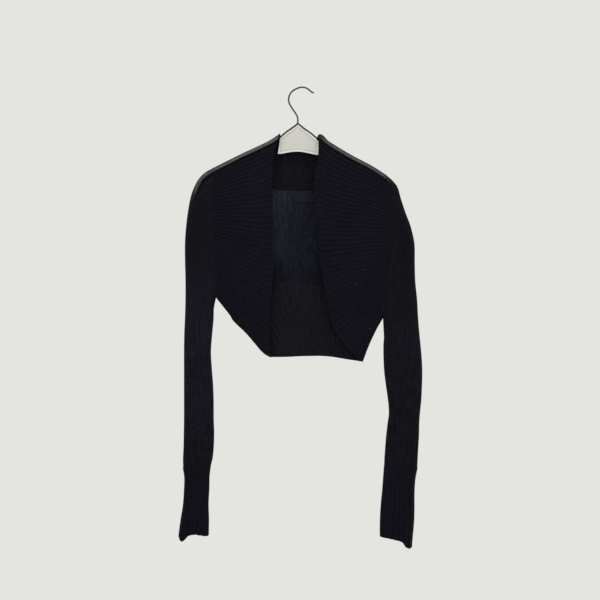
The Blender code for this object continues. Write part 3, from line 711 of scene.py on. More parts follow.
class ShapeTrees(Shelf):
    """The Geometry Nodes trees."""

    def begin(self, name: str, **sizes: object) -> tuple[Graph, dict, dict]:
        """Starts a tree that takes a shape, its sizes and a material."""
        inputs = {key.replace("_", " ").title(): value for key, value in sizes.items()}
        return new_tree(TreeKind.SHAPE, name, {"Geometry": GEOMETRY, **inputs, "Material": MATERIAL}, "Geometry")

    def close(self, graph: Graph, shape: Node, given: dict, made: dict) -> Tree:
        """Ends a tree in Realize Instances and Set Material.

        Args:
            graph: the tree's graph.
            shape: the node whose geometry it ends with.
            given: the tree's inputs.
            made: the tree's outputs.

        Returns:
            The tree.
        """
        real = graph.node("GeometryNodeRealizeInstances", {"Geometry": shape})
        dress = graph.node("GeometryNodeSetMaterial", {"Geometry": real, "Material": given["Material"]})
        graph.feed(made["Geometry"], dress)
        graph.tree.is_modifier = True
        return graph.tree

    def raise_ribs(self) -> Tree:
        """Raises rounded ribs on a wall, a little uneven from rib to rib and along each one.

        Returns:
            The tree, for a wall that carries rib_phase, rib_share and rib_way.
        """
        graph, given, made = self.begin("raise_ribs", rib_height=0.0011, roundness=CREST_POWER, uneven=0.25, seed=1.0)
        wave = graph.math("COSINE", graph.times(graph.named("rib_phase"), math.tau))
        crest = graph.math("POWER", graph.on_line(wave, -0.4999, 0.5), given["Roundness"])
        where = graph.node("GeometryNodeInputPosition")
        drift = graph.node("ShaderNodeTexNoise", {"Vector": where, "W": given["Seed"], "Scale": 45.0, "Detail": 1.0},
                           noise_dimensions="4D").outputs[0]
        drift = graph.times(graph.less(drift, 0.5), given["Uneven"])
        height = graph.times(given["Rib Height"], graph.plus(1.0, graph.times(drift, 2.0)))
        rise = graph.times(crest, graph.named("rib_share"), height)
        offset = graph.scaled(graph.named("rib_way", "FLOAT_VECTOR"), rise)
        move = graph.node("GeometryNodeSetPosition", {"Geometry": given["Geometry"], "Offset": offset})
        return self.close(graph, move, given, made)

    def stitch_row(self) -> Tree:
        """Lays leaning yarn loops along lines, each turned to face the way that the line's cloth faces.

        Returns:
            The tree, for lines that carry out_way.
        """
        graph, given, made = self.begin("stitch_row", spacing=0.0026, length=0.0026, width=0.0011, height=0.0008,
                                        lean=0.35, lift=0.0003, uneven=0.1, seed=WHOLE_NUMBER)
        curve = graph.node("GeometryNodeMeshToCurve", {"Mesh": given["Geometry"]})
        spread = graph.node("GeometryNodeResampleCurve", {"Curve": curve, "Length": given["Spacing"]}, mode="LENGTH")
        way = graph.named("out_way", "FLOAT_VECTOR")
        offset = graph.scaled(way, given["Lift"])
        points = graph.node("GeometryNodeSetPosition", {"Geometry": spread, "Offset": offset})
        loop = graph.node("GeometryNodeMeshUVSphere", {"Segments": 6, "Rings": 4, "Radius": 0.5})
        smooth = graph.node("GeometryNodeSetShadeSmooth", {"Geometry": loop})
        ahead = graph.node("FunctionNodeAlignRotationToVector", {"Vector": graph.node("GeometryNodeInputTangent")},
                           axis="X")
        outward = graph.node("FunctionNodeAlignRotationToVector", {"Rotation": ahead, "Vector": way},
                             axis="Z", pivot_axis="X")
        every_other = graph.math("FLOORED_MODULO", graph.node("GeometryNodeInputIndex"), 2.0)
        angle = graph.times(graph.on_line(every_other, 2.0, -1.0), given["Lean"])
        lean = graph.node("FunctionNodeEulerToRotation", {0: graph.node("ShaderNodeCombineXYZ", {"Z": angle})})
        turned = graph.node("FunctionNodeRotateRotation", {0: outward, 1: lean}, rotation_space="LOCAL")
        low, high = graph.less(1.0, given["Uneven"]), graph.plus(1.0, given["Uneven"])
        uneven = graph.node("FunctionNodeRandomValue", {2: low, 3: high, 8: given["Seed"]}, data_type="FLOAT")
        size = graph.node("ShaderNodeCombineXYZ", dict(enumerate(given[k] for k in ("Length", "Width", "Height"))))
        size = graph.scaled(size, uneven.outputs[1])
        place = graph.node("GeometryNodeInstanceOnPoints",
                           {"Points": points, "Instance": smooth, "Rotation": turned, "Scale": size})
        return self.close(graph, place, given, made)

    def bent_wire(self) -> Tree:
        """Sweeps a round wire along a line.

        Returns:
            The tree, for a line that carries its thickness as a share of the radius.
        """
        graph, given, made = self.begin("bent_wire", radius=0.0016, sides=WHOLE_NUMBER)
        curve = graph.node("GeometryNodeMeshToCurve", {"Mesh": given["Geometry"]})
        thick = graph.node("GeometryNodeSetCurveRadius", {"Curve": curve, "Radius": graph.named("thickness")})
        ring = graph.node("GeometryNodeCurvePrimitiveCircle", {"Resolution": given["Sides"], "Radius": given["Radius"]})
        sweep = graph.node("GeometryNodeCurveToMesh", {"Curve": thick, "Profile Curve": ring, "Fill Caps": True})
        return self.close(graph, graph.node("GeometryNodeSetShadeSmooth", {"Geometry": sweep}), given, made)

    def lint(self) -> Tree:
        """Puts a small uneven speck on each point.

        Returns:
            The tree.
        """
        graph, given, made = self.begin("lint", smallest=0.0005, largest=0.0015, seed=WHOLE_NUMBER)
        speck = graph.node("GeometryNodeMeshIcoSphere", {"Radius": 0.5, "Subdivisions": 2})
        size = graph.node("FunctionNodeRandomValue", {0: given["Smallest"], 1: given["Largest"], 8: given["Seed"]},
                          data_type="FLOAT_VECTOR")
        place = graph.node("GeometryNodeInstanceOnPoints",
                           {"Points": given["Geometry"], "Instance": speck, "Scale": size})
        return self.close(graph, place, given, made)

    def apply(self, name: str, shape: Object, material: Material, **sizes: float) -> None:
        """Runs a tree on an object and keeps the result as its plain mesh.

        Args:
            name: the tree's name.
            shape: the object, whose mesh the tree starts from.
            material: the material that the tree sets.
            sizes: values for the tree's inputs.
        """
        modifier = shape.modifiers.new(name, "NODES")
        modifier.node_group = self.get(name)
        values = {**sizes, "material": material}
        for item in modifier.node_group.interface.items_tree:
            if item.in_out == "INPUT" and as_key(item.name) in values:
                modifier[item.identifier] = values[as_key(item.name)]
        bpy.context.view_layer.update()
        graph = bpy.context.evaluated_depsgraph_get()
        mesh = bpy.data.meshes.new_from_object(
            shape.evaluated_get(graph), preserve_all_data_layers=True, depsgraph=graph
        )
        shape.modifiers.clear()
        old, shape.data = shape.data, mesh
        bpy.data.meshes.remove(old)
        mesh.name = shape.name
        if not mesh.materials:
            mesh.materials.append(material)


# ---- shared effects and finishes


class Effects(Shelf):
    """The shader groups that several finishes share."""

    def place(self, graph: Graph, name: str, **values: object) -> dict[str, Socket]:
        """Puts a group into a material.

        Args:
            graph: the material's graph.
            name: the group's name.
            values: what its inputs are fed.

        Returns:
            The group's outputs by name.
        """
        group = graph.node("ShaderNodeGroup", node_tree=self.get(name))
        for socket in group.inputs:
            if as_key(socket.name) in values:
                graph.feed(socket, values[as_key(socket.name)])
        return {socket.name: socket for socket in group.outputs}

    def drift_tone(self, graph: Graph, where: Socket, **values: float) -> Socket:
        """Gives slow and fine changes of tone, as one factor around 1."""
        return self.place(graph, "drift", where=where, **values)["Factor"]

    def loops(self) -> Tree:
        """Knits loops: each wale is a column of leaning legs in a V, counted in stitches.

        Returns:
            The group, with the loops' height, a mask of the gaps between them for painted shade, and a chance value for
            each.
        """
        graph, given, made = new_tree(TreeKind.FINISH, "knit_loops", {"Stitches": VECTOR, "Lean": 0.7, "Wander": 0.12},
                                      "Height", "Gap", "Chance")
        split = graph.node("ShaderNodeSeparateXYZ", {0: given["Stitches"]}).outputs
        drift = graph.less(graph.noise(given["Stitches"], 0.35, 1.0), 0.5)
        across = graph.plus(split["X"], graph.times(drift, given["Wander"]))
        leg = graph.times(graph.math("ABSOLUTE", graph.less(graph.math("FRACT", across), 0.5)), 2.0)
        rise = graph.plus(split["Y"], graph.times(leg, given["Lean"]))
        rounds = []
        for value in (leg, graph.math("FRACT", rise)):
            swing = graph.math("ABSOLUTE", graph.on_line(value, 2.0, -1.0))
            rounds.append(graph.math("SINE", graph.times(graph.less(1.0, swing), math.pi / 2)))
        height = graph.times(rounds[0], graph.on_line(rounds[1], 0.65, 0.35))
        cell = {axis: graph.math("FLOOR", value) for axis, value in (("X", across), ("Y", rise))}
        chance = graph.node("ShaderNodeTexWhiteNoise", {"Vector": graph.node("ShaderNodeCombineXYZ", cell)})
        graph.feed(made["Height"], height)
        graph.feed(made["Gap"], graph.remap(height, 0.0, 0.45, 1.0, 0.0))
        graph.feed(made["Chance"], chance.outputs["Value"])
        return graph.tree

    def streaks(self) -> Tree:
        """Runs tighter and looser wales along the cloth.

        Returns:
            The group, with one factor around 1.
        """
        graph, given, made = new_tree(TreeKind.FINISH, "wale_streaks", {"Stitches": VECTOR, "Amount": 0.2}, "Factor")
        long_runs = graph.node("ShaderNodeVectorMath", {0: given["Stitches"], 1: (0.42, 0.05, 1.0)},
                               operation="MULTIPLY")
        wander = graph.less(graph.noise(long_runs, 1.0, 3.0), 0.5)
        factor = graph.on_line(graph.times(wander, given["Amount"]), 4.0, 1.0)
        graph.feed(made["Factor"], graph.math("MAXIMUM", factor, 0.2))
        return graph.tree

    def drift(self) -> Tree:
        """Changes the tone slowly and finely over the surface.

        Returns:
            The group, with one factor around 1.
        """
        sizes = {"Where": VECTOR, "Broad": 8.0, "Fine": 600.0, "Broad Share": 0.2, "Fine Share": 0.2}
        graph, given, made = new_tree(TreeKind.FINISH, "tone_drift", sizes, "Factor")
        parts = []
        for name, detail in (("Broad", 2.0), ("Fine", 1.0)):
            change = graph.less(graph.noise(given["Where"], given[name], detail), 0.5)
            parts.append(graph.times(change, given[f"{name} Share"]))
        graph.feed(made["Factor"], graph.on_line(graph.plus(*parts), 2.0, 1.0))
        return graph.tree


def new_material(name: str, colour: Colour, **fixed: object) -> tuple[Material, Graph, Node, Socket]:
    """Makes a material with a Principled shader.

    Args:
        name: the material's name.
        colour: the colour shown where nodes aren't.
        fixed: values that are the same all over, by the sockets' names with _ for a space.

    Returns:
        The material, its graph, its Principled node and the place on the object.
    """
    material = bpy.data.materials.new(name)
    material.use_nodes = True
    material.diffuse_color = colour
    graph, shader = Graph(material.node_tree), material.node_tree.nodes["Principled BSDF"]
    graph.paint(shader, Base_Color=colour, **fixed)
    return material, graph, shader, graph.node("ShaderNodeTexCoord").outputs["Object"]


class Look:
    """A finish. All of them share the shader groups."""

    effects = Effects()


@dataclass(frozen=True)
class Yarn(Look):
    """Near-black knit, with a grey-brown dusting and a painted highlight where the shoulders are rolled, and painted
    shade in the gaps between loops and in the rib valleys.
    """

    name: str
    colour: Colour
    inside: Colour
    # painted shade: how dark the gaps between loops are painted
    gap: float = 0.5
    # painted shade in the rib valleys, as a share taken off the colour
    valley: float = 0.0
    streak: float = 0.12
    grain: float = 0.3
    fleck: float = 420.0
    loop_depth: float = 0.0005
    # the colour of the painted highlight and dusting on the rolled shoulders
    nap: Colour = (0.16, 0.15, 0.145, 1.0)
    nap_fleck: float = 900.0
    sheen: Colour = (0.82, 0.8, 0.85, 1.0)

    def make(self) -> Material:
        """Builds the material.

        Returns:
            The material, for cloth that carries its stitches, ribs, dusting with painted highlight, tone with painted
            shade and inside.
        """
        material, graph, shader, where = new_material(
            self.name, self.colour, Roughness=0.92, Specular_IOR_Level=0.04, Sheen_Weight=0.02, Sheen_Roughness=0.45,
            Sheen_Tint=self.sheen,
        )
        stitches = graph.node("ShaderNodeUVMap", uv_map="knit").outputs[0]
        loops = self.effects.place(graph, "loops", stitches=stitches)
        tone = self.effects.drift_tone(graph, where, fine=self.fleck)
        streaks = self.effects.place(graph, "streaks", stitches=stitches, amount=self.streak)["Factor"]
        # painted shade in the gaps between loops
        gaps = graph.remap(loops["Gap"], 0.0, 1.0, 1.0, self.gap)
        chance = graph.on_line(loops["Chance"], 2.0 * self.grain, 1.0 - self.grain)
        shade = dust_and_highlight_texture = graph.times(tone, gaps, streaks, chance)
        # painted shade in the rib valleys
        if self.valley:
            wave = graph.math("COSINE", graph.times(graph.carried("rib_phase"), math.tau))
            deep = graph.times(graph.remap(wave, -0.6, 1.0, 0.0, -self.valley), graph.carried("rib_share"))
            shade = graph.times(shade, graph.plus(1.0, deep))
        light = graph.times(shade, graph.carried("tone"))
        # painted highlight with a dusting along the rolled shoulders, mixed over the knit's colour
        dust_and_highlight_amount = graph.times(graph.carried("nap"), graph.patches(where, self.nap_fleck, 0.55, 1.0, detail=2.0))
        faces = [graph.scaled(colour, light) for colour in (self.colour, self.inside)]
        plain = graph.mix(graph.carried("inside"), *faces)
        graph.paint(shader, Base_Color=graph.mix(dust_and_highlight_amount, plain, graph.scaled(self.nap, dust_and_highlight_texture)),
                    Normal=graph.bump(loops["Height"], self.loop_depth, 0.9))
        return material


@dataclass(frozen=True)
class Thread(Look):
    """Plain spun yarn or thread for stitches."""

    name: str
    colour: Colour
    twists: float = 700.0
    twist_depth: float = 0.0001

    def make(self) -> Material:
        """Builds the material.

        Returns:
            The material.
        """
        material, graph, shader, where = new_material(
            self.name, self.colour, Roughness=0.85, Specular_IOR_Level=0.12, Sheen_Weight=0.05, Sheen_Roughness=0.4
        )
        tone = self.effects.drift_tone(graph, where, broad=60.0, fine=1500.0, fine_share=0.4)
        twist = graph.node("ShaderNodeTexWave", {"Vector": where, "Scale": self.twists}, bands_direction="DIAGONAL")
        graph.paint(shader, Base_Color=graph.scaled(self.colour, tone),
                    Normal=graph.bump(twist.outputs["Fac"], self.twist_depth, 0.6))
        return material


@dataclass(frozen=True)
class Satin(Look):
    """Smooth black label cloth, with a fine ribbed weave."""

    name: str = "black_satin_label"
    colour: Colour = (0.0085, 0.0105, 0.0185, 1.0)
    warp: float = 16000.0
    weft: float = 11000.0
    weave_depth: float = 0.00006

    def make(self) -> Material:
        """Builds the material.

        Returns:
            The material.
        """
        material, graph, shader, where = new_material(
            self.name, self.colour, Specular_IOR_Level=0.1, Sheen_Weight=0.02, Anisotropic=0.4
        )
        tone = self.effects.drift_tone(graph, where, broad=40.0, fine=1200.0)
        split = graph.node("ShaderNodeSeparateXYZ", {0: where}).outputs
        warp, weft = graph.times(split["X"], self.warp), graph.times(split["Z"], self.weft)
        weave = graph.times(graph.math("SINE", warp), graph.math("SINE", weft))
        graph.paint(shader, Base_Color=graph.scaled(self.colour, tone), Normal=graph.bump(weave, self.weave_depth, 0.5),
                    Roughness=graph.patches(where, 120.0, 0.42, 0.58))
        return material


@dataclass(frozen=True)
class Steel(Look):
    """Dark satin steel wire, a little rubbed, with a dull black non-slip coating where it carries cloth, and painted
    shade at half that darkness on the bare shoulders beside the plate.
    """

    name: str = "dark_steel_wire"
    colour: Colour = (0.075, 0.069, 0.065, 1.0)
    rubbed: Colour = (0.22, 0.21, 0.2, 1.0)
    coated: Colour = (0.004, 0.004, 0.005, 1.0)
    grain_depth: float = 0.00004

    def make(self) -> Material:
        """Builds the material.

        Returns:
            The material, for a wire that carries where its coating and its painted shade are.
        """
        material, graph, shader, where = new_material(self.name, self.colour, Specular_IOR_Level=0.08)
        # the black coating where this is full, and painted shade where it is half on
        coat = graph.carried("coat")
        tone = self.effects.drift_tone(graph, where, broad=30.0, fine=2500.0)
        worn = graph.remap(graph.noise(where, 70.0, 4.0), 0.6, 0.78, 0.0, 0.6)
        bare = graph.mix(worn, graph.scaled(self.colour, tone), self.rubbed)
        graph.paint(shader, Base_Color=graph.mix(coat, bare, graph.scaled(self.coated, tone)),
                    Metallic=graph.on_line(coat, -0.9, 0.9),
                    Roughness=graph.on_line(coat, 0.45, graph.patches(where, 400.0, 0.24, 0.42)),
                    Normal=graph.bump(graph.noise(where, 1800.0, 2.0), self.grain_depth, 0.4))
        return material


@dataclass(frozen=True)
class Plastic(Look):
    """White moulded plastic with a fine grain and slightly yellowed patches."""

    name: str = "white_moulded_plastic"
    colour: Colour = (0.7, 0.685, 0.65, 1.0)
    yellowed: Colour = (0.65, 0.62, 0.55, 1.0)
    grain_depth: float = 0.00008

    def make(self) -> Material:
        """Builds the material.

        Returns:
            The material, for a plate that carries how lit each part of it is.
        """
        material, graph, shader, where = new_material(self.name, self.colour, Specular_IOR_Level=0.45, IOR=1.48)
        tone = self.effects.drift_tone(graph, where, broad=25.0, fine=1400.0, broad_share=0.05, fine_share=0.04)
        aged = graph.remap(graph.noise(where, 38.0), 0.45, 0.75, 0.0, 0.35)
        base = graph.scaled(self.colour, graph.times(tone, graph.carried("shade")))
        graph.paint(shader, Base_Color=graph.mix(aged, base, self.yellowed),
                    Roughness=graph.patches(where, 260.0, 0.36, 0.5),
                    Normal=graph.bump(graph.noise(where, 1600.0), self.grain_depth, 0.5))
        return material


LOOKS = {
    "rib": Yarn("rib_knit", (0.0091, 0.0088, 0.016, 1.0), (0.0124, 0.012, 0.0184, 1.0), valley=0.14, grain=0.32),
    "plain": Yarn("plain_knit", (0.0096, 0.0093, 0.0154, 1.0), (0.014, 0.0163, 0.0255, 1.0), streak=0.4, grain=0.42),
    "linking": Thread("linking_yarn", (0.0095, 0.0092, 0.0125, 1.0)),
    "edging": Thread("edge_yarn", (0.0062, 0.006, 0.0098, 1.0)),
    "label": Satin(),
    "label_thread": Thread("label_thread", (0.02, 0.02, 0.024, 1.0)),
    "lint": Thread("pale_lint", (0.17, 0.16, 0.15, 1.0)),
    "wire": Steel(),
    "plate": Plastic(),
}


def make_finishes() -> dict[str, Material]:
    """Makes every material once, by the use that it is for."""
    return {use: look.make() for use, look in LOOKS.items()}


# ---- walls of cloth


@dataclass
class Cloth:
    """A wall of cloth as a grid of points, with what its stitches and ribs need.

    The rims are those of the first row, the last row, the first column and the last column. A piece that goes around
    has its first column again as its last.
    """

    name: str
    knit: Knit
    points: Array
    normals: Array
    stitches: Array
    share: Array
    rims: tuple[Rim, Rim, Rim, Rim]
    around: bool = False
    tone: Array | float = 1.0
    # painted light or shade on the wall's inside: darker inside the sleeves and the neck band, lit and shaded on the
    # back panel
    inner_tone: Array | float = 1.0

    def borders(self) -> list[Array]:
        """Lists the grid's borders.

        Returns:
            Loops of rows and columns that end where they start.
        """
        rows, columns = self.points.shape[:2]
        across, down = np.arange(columns), np.arange(1, rows - 1)
        top, foot, right, left = (
            np.stack(np.broadcast_arrays(*place), axis=1)
            for place in ((0, across), (rows - 1, across[::-1]), (down, columns - 1), (down[::-1], 0))
        )
        return [top, foot] if self.around else [np.vstack([top, right, foot, left, top[:1]])]

    def bulge(self, border: Array) -> Array:
        """Measures how far a border rounds out.

        Args:
            border: rows and columns of the grid.

        Returns:
            One distance for each.
        """
        rows, columns = self.points.shape[:2]
        found = np.full(len(border), Rim.FREE.value)
        places = [border[:, 0] == 0, border[:, 0] == rows - 1, border[:, 1] == 0, border[:, 1] == columns - 1]
        for rim, here in zip(self.rims, places[:2] if self.around else places):
            found[here] = np.minimum(found[here], rim.value)
        return found

    def build(self, wall: float, nap: Array, shade: Array) -> Object:
        """Makes the wall with rounded rims, as a smooth mesh.

        Args:
            wall: the cloth's thickness.
            nap: how much dusting and painted highlight each point of the grid has.
            shade: 0 where the cloth is in deep painted shade, up to 1.

        Returns:
            The object, with stitch counts as its UV map and what the ribs need as attributes.
        """
        rows, columns = self.points.shape[:2]
        real = columns - 1 if self.around else columns
        ids = np.arange(rows)[:, None] * real + np.arange(columns) % real
        inner = self.points - wall * self.normals
        phase = self.stitches[..., 0] / WALES_PER_RIB
        # both faces carry the painted shade of the rolled shoulders; the inside also carries its own painted light or
        # shade
        tone, inner_tone = shade * self.tone, shade * self.inner_tone
        points, carried = [], []

        def add(place: tuple, layer: Array, deep: float) -> None:
            """Adds points with what they carry.

            Args:
                place: where they are on the grid.
                layer: the points.
                deep: 0 on the outside, up to 1 on the inside.
            """
            points.append(layer.reshape(-1, 3))
            ribs = self.share[place] * (1.0 - (1.0 - INNER_RIBS) * deep)
            tones = (1.0 - deep) * tone[place] + deep * inner_tone[place]
            numbers = [np.ravel(values) for values in (ribs, phase[place], nap[place], tones)]
            carried.append([self.normals[place].reshape(-1, 3), *numbers, np.full(len(points[-1]), deep)])

        whole = np.s_[:, :real]
        add(whole, self.points[whole], 0.0)
        add(whole, inner[whole], 1.0)
        start = np.stack(np.meshgrid(np.arange(rows - 1), np.arange(columns - 1), indexing="ij"), -1)
        cells = start.reshape(-1, 1, 2) + [[0, 0], [0, 1], [1, 1], [1, 0]]
        corners = (cells[..., 0], cells[..., 1])
        faces = [ids[corners], ids[corners][:, ::-1] + rows * real]
        uv = [self.stitches[corners], self.stitches[corners][:, ::-1]]
        for border in self.borders():
            ring = border[:-1]
            place = (ring[:, 0], ring[:, 1])
            column = ring[:, 1] if self.around else np.clip(ring[:, 1], 1, columns - 2)
            inward = (np.clip(ring[:, 0], 1, rows - 2), column)
            away = in_plane(unit(self.points[place] - self.points[inward]), self.normals[place])
            half = (self.points[place] - inner[place]) / 2
            levels = [ids[place]]
            for k in range(1, RIM_STEPS):
                angle = k * math.pi / RIM_STEPS
                out = math.sin(angle) * self.bulge(ring)[:, None] * away
                levels.append(sum(map(len, points)) + np.arange(len(ring)))
                add(place, inner[place] + half * (1 + math.cos(angle)) + out, (1 - math.cos(angle)) / 2)
            levels.append(ids[place] + rows * real)
            here = self.stitches[border[:, 0], border[:, 1]]
            for k, (near, far) in enumerate(zip(levels, levels[1:])):
                faces.append(np.stack([np.roll(near, -1), near, far, np.roll(far, -1)], axis=1))
                top, foot = (here + [0.0, level * RIM_COURSE] for level in (k, k + 1))
                uv.append(np.stack([top[1:], top[:-1], foot[:-1], foot[1:]], axis=1))
        points, faces, uv = np.vstack(points), np.vstack(faces), np.vstack(uv)
        corner = points[faces]
        first, middle, last = (corner[:, k] - corner[:, 0] for k in (1, 2, 3))
        crossed = np.cross(first, middle) + np.cross(middle, last)
        if (crossed * corner.mean(axis=1)).sum() < 0:
            faces, uv = faces[:, ::-1], uv[:, ::-1]
        shape = new_object(self.name, points, faces=faces)
        shape.data.uv_layers.new(name="knit").data.foreach_set("uv", uv.reshape(-1).astype(np.float32))
        names = ("rib_way", "rib_share", "rib_phase", "nap", "tone", "inside")
        write(shape, **{name: np.concatenate(parts) for name, parts in zip(names, zip(*carried))})
        return shape

    def raised(self, height: float) -> Array:
        """Gives the grid's points on top of its ribs.

        Args:
            height: how high the ribs are.

        Returns:
            The points.
        """
        if self.knit is Knit.PLAIN:
            return self.points
        crest = (0.5 - 0.5 * np.cos(math.tau * self.stitches[..., :1] / WALES_PER_RIB)) ** CREST_POWER
        return self.points + height * crest * self.share[..., None] * self.normals

    def line(self, column: int | None = None, row: int | None = None, height: float = 0.0) -> tuple[Array, Array]:
        """Picks the points and normals of one row or column of the grid, on top of ribs of a height."""
        place = (slice(None), column) if row is None else (row, slice(None))
        return self.raised(height)[place], self.normals[place]

    def flat_size(self) -> tuple[float, float, float]:
        """Measures the cut.

        Returns:
            Its width and length in metres, and its area in square metres.
        """
        down, across = np.diff(self.points, axis=0), np.diff(self.points, axis=1)
        widths, heights = norm(across, axis=2).sum(axis=1), norm(down, axis=2).sum(axis=0)
        width = (np.median(widths) if self.around else widths.max()) * MM  # a sleeve's cap rows are cut at a slant
        length = heights.max() * MM
        area = norm(np.cross(down[:, :-1], across[:-1]), axis=2).sum()
        return width, length, min(area * MM * MM, width * length)


def add_object(name: str, data: bpy.types.ID) -> Object:
    """Puts an object with some data into the scene."""
    shape = bpy.data.objects.new(name, data)
    bpy.context.scene.collection.objects.link(shape)
    return shape


def new_object(name: str, points: Array, edges: Iterable = (), faces: Array | list = ()) -> Object:
    """Makes a smooth mesh object from points in millimetres.

    Args:
        name: the object's name.
        points: the points, in X, Y and Z.
        edges: pairs of points, for a mesh with no faces.
        faces: the faces' points.

    Returns:
        The object, linked to the scene.
    """
    mesh = bpy.data.meshes.new(name)
    mesh.from_pydata((np.asarray(points) * MM).tolist(), list(edges), np.asarray(faces).tolist())
    mesh.polygons.foreach_set("use_smooth", [True] * len(mesh.polygons))
    mesh.validate()
    return add_object(name, mesh)


def write(shape: Object, **values: Array) -> None:
    """Writes named attributes on a mesh.

    Args:
        shape: the mesh's object.
        values: a number or a vector for each point.
    """
    for name, rows in values.items():
        rows = np.asarray(rows, np.float32)
        kind, part = ("FLOAT_VECTOR", "vector") if rows.ndim == 2 else ("FLOAT", "value")
        shape.data.attributes.new(name, kind, "POINT").data.foreach_set(part, rows.reshape(-1))


def chain(name: str, *lines: Array) -> Object:
    """Makes a mesh of open lines.

    Args:
        name: the object's name.
        lines: the points of each line.

    Returns:
        The object.
    """
    edges, start = [], 0
    for line in lines:
        edges += [(i, i + 1) for i in range(start, start + len(line) - 1)]
        start += len(line)
    return new_object(name, np.vstack(lines), edges=edges)


def between(first: Array, second: Array, shares: Array) -> Array:
    """Makes a grid with a row for each pair of points and a column for each share of the way between them."""
    shares = np.asarray(shares)[None, :, None]
    return first[:, None, :] * (1 - shares) + second[:, None, :] * shares


def patch(first: Array, last: Array, top: Array, foot: Array) -> Array:
    """Fills the space between four lines.

    Args:
        first: the line of the first column.
        last: the line of the last column.
        top: the line of the first row.
        foot: the line of the last row.

    Returns:
        A grid whose edges are those lines.
    """
    u, v = even_shares(len(first) - 1)[:, None, None], even_shares(len(top) - 1)[None, :, None]
    ends = (1 - u) * ((1 - v) * first[0] + v * last[0]) + u * ((1 - v) * first[-1] + v * last[-1])
    return (1 - v) * first[:, None] + v * last[:, None] + (1 - u) * top[None] + u * foot[None] - ends


def run_length(points: Array, axis: int) -> Array:
    """Adds up lengths from 0 over a grid of points, along its rows for axis 1 or its columns for axis 0."""
    steps = norm(np.diff(points, axis=axis), axis=2)
    start = np.zeros_like(steps[:, :1] if axis else steps[:1])
    return np.concatenate([start, np.cumsum(steps, axis=axis)], axis=axis)


# ---- the pieces of the garment


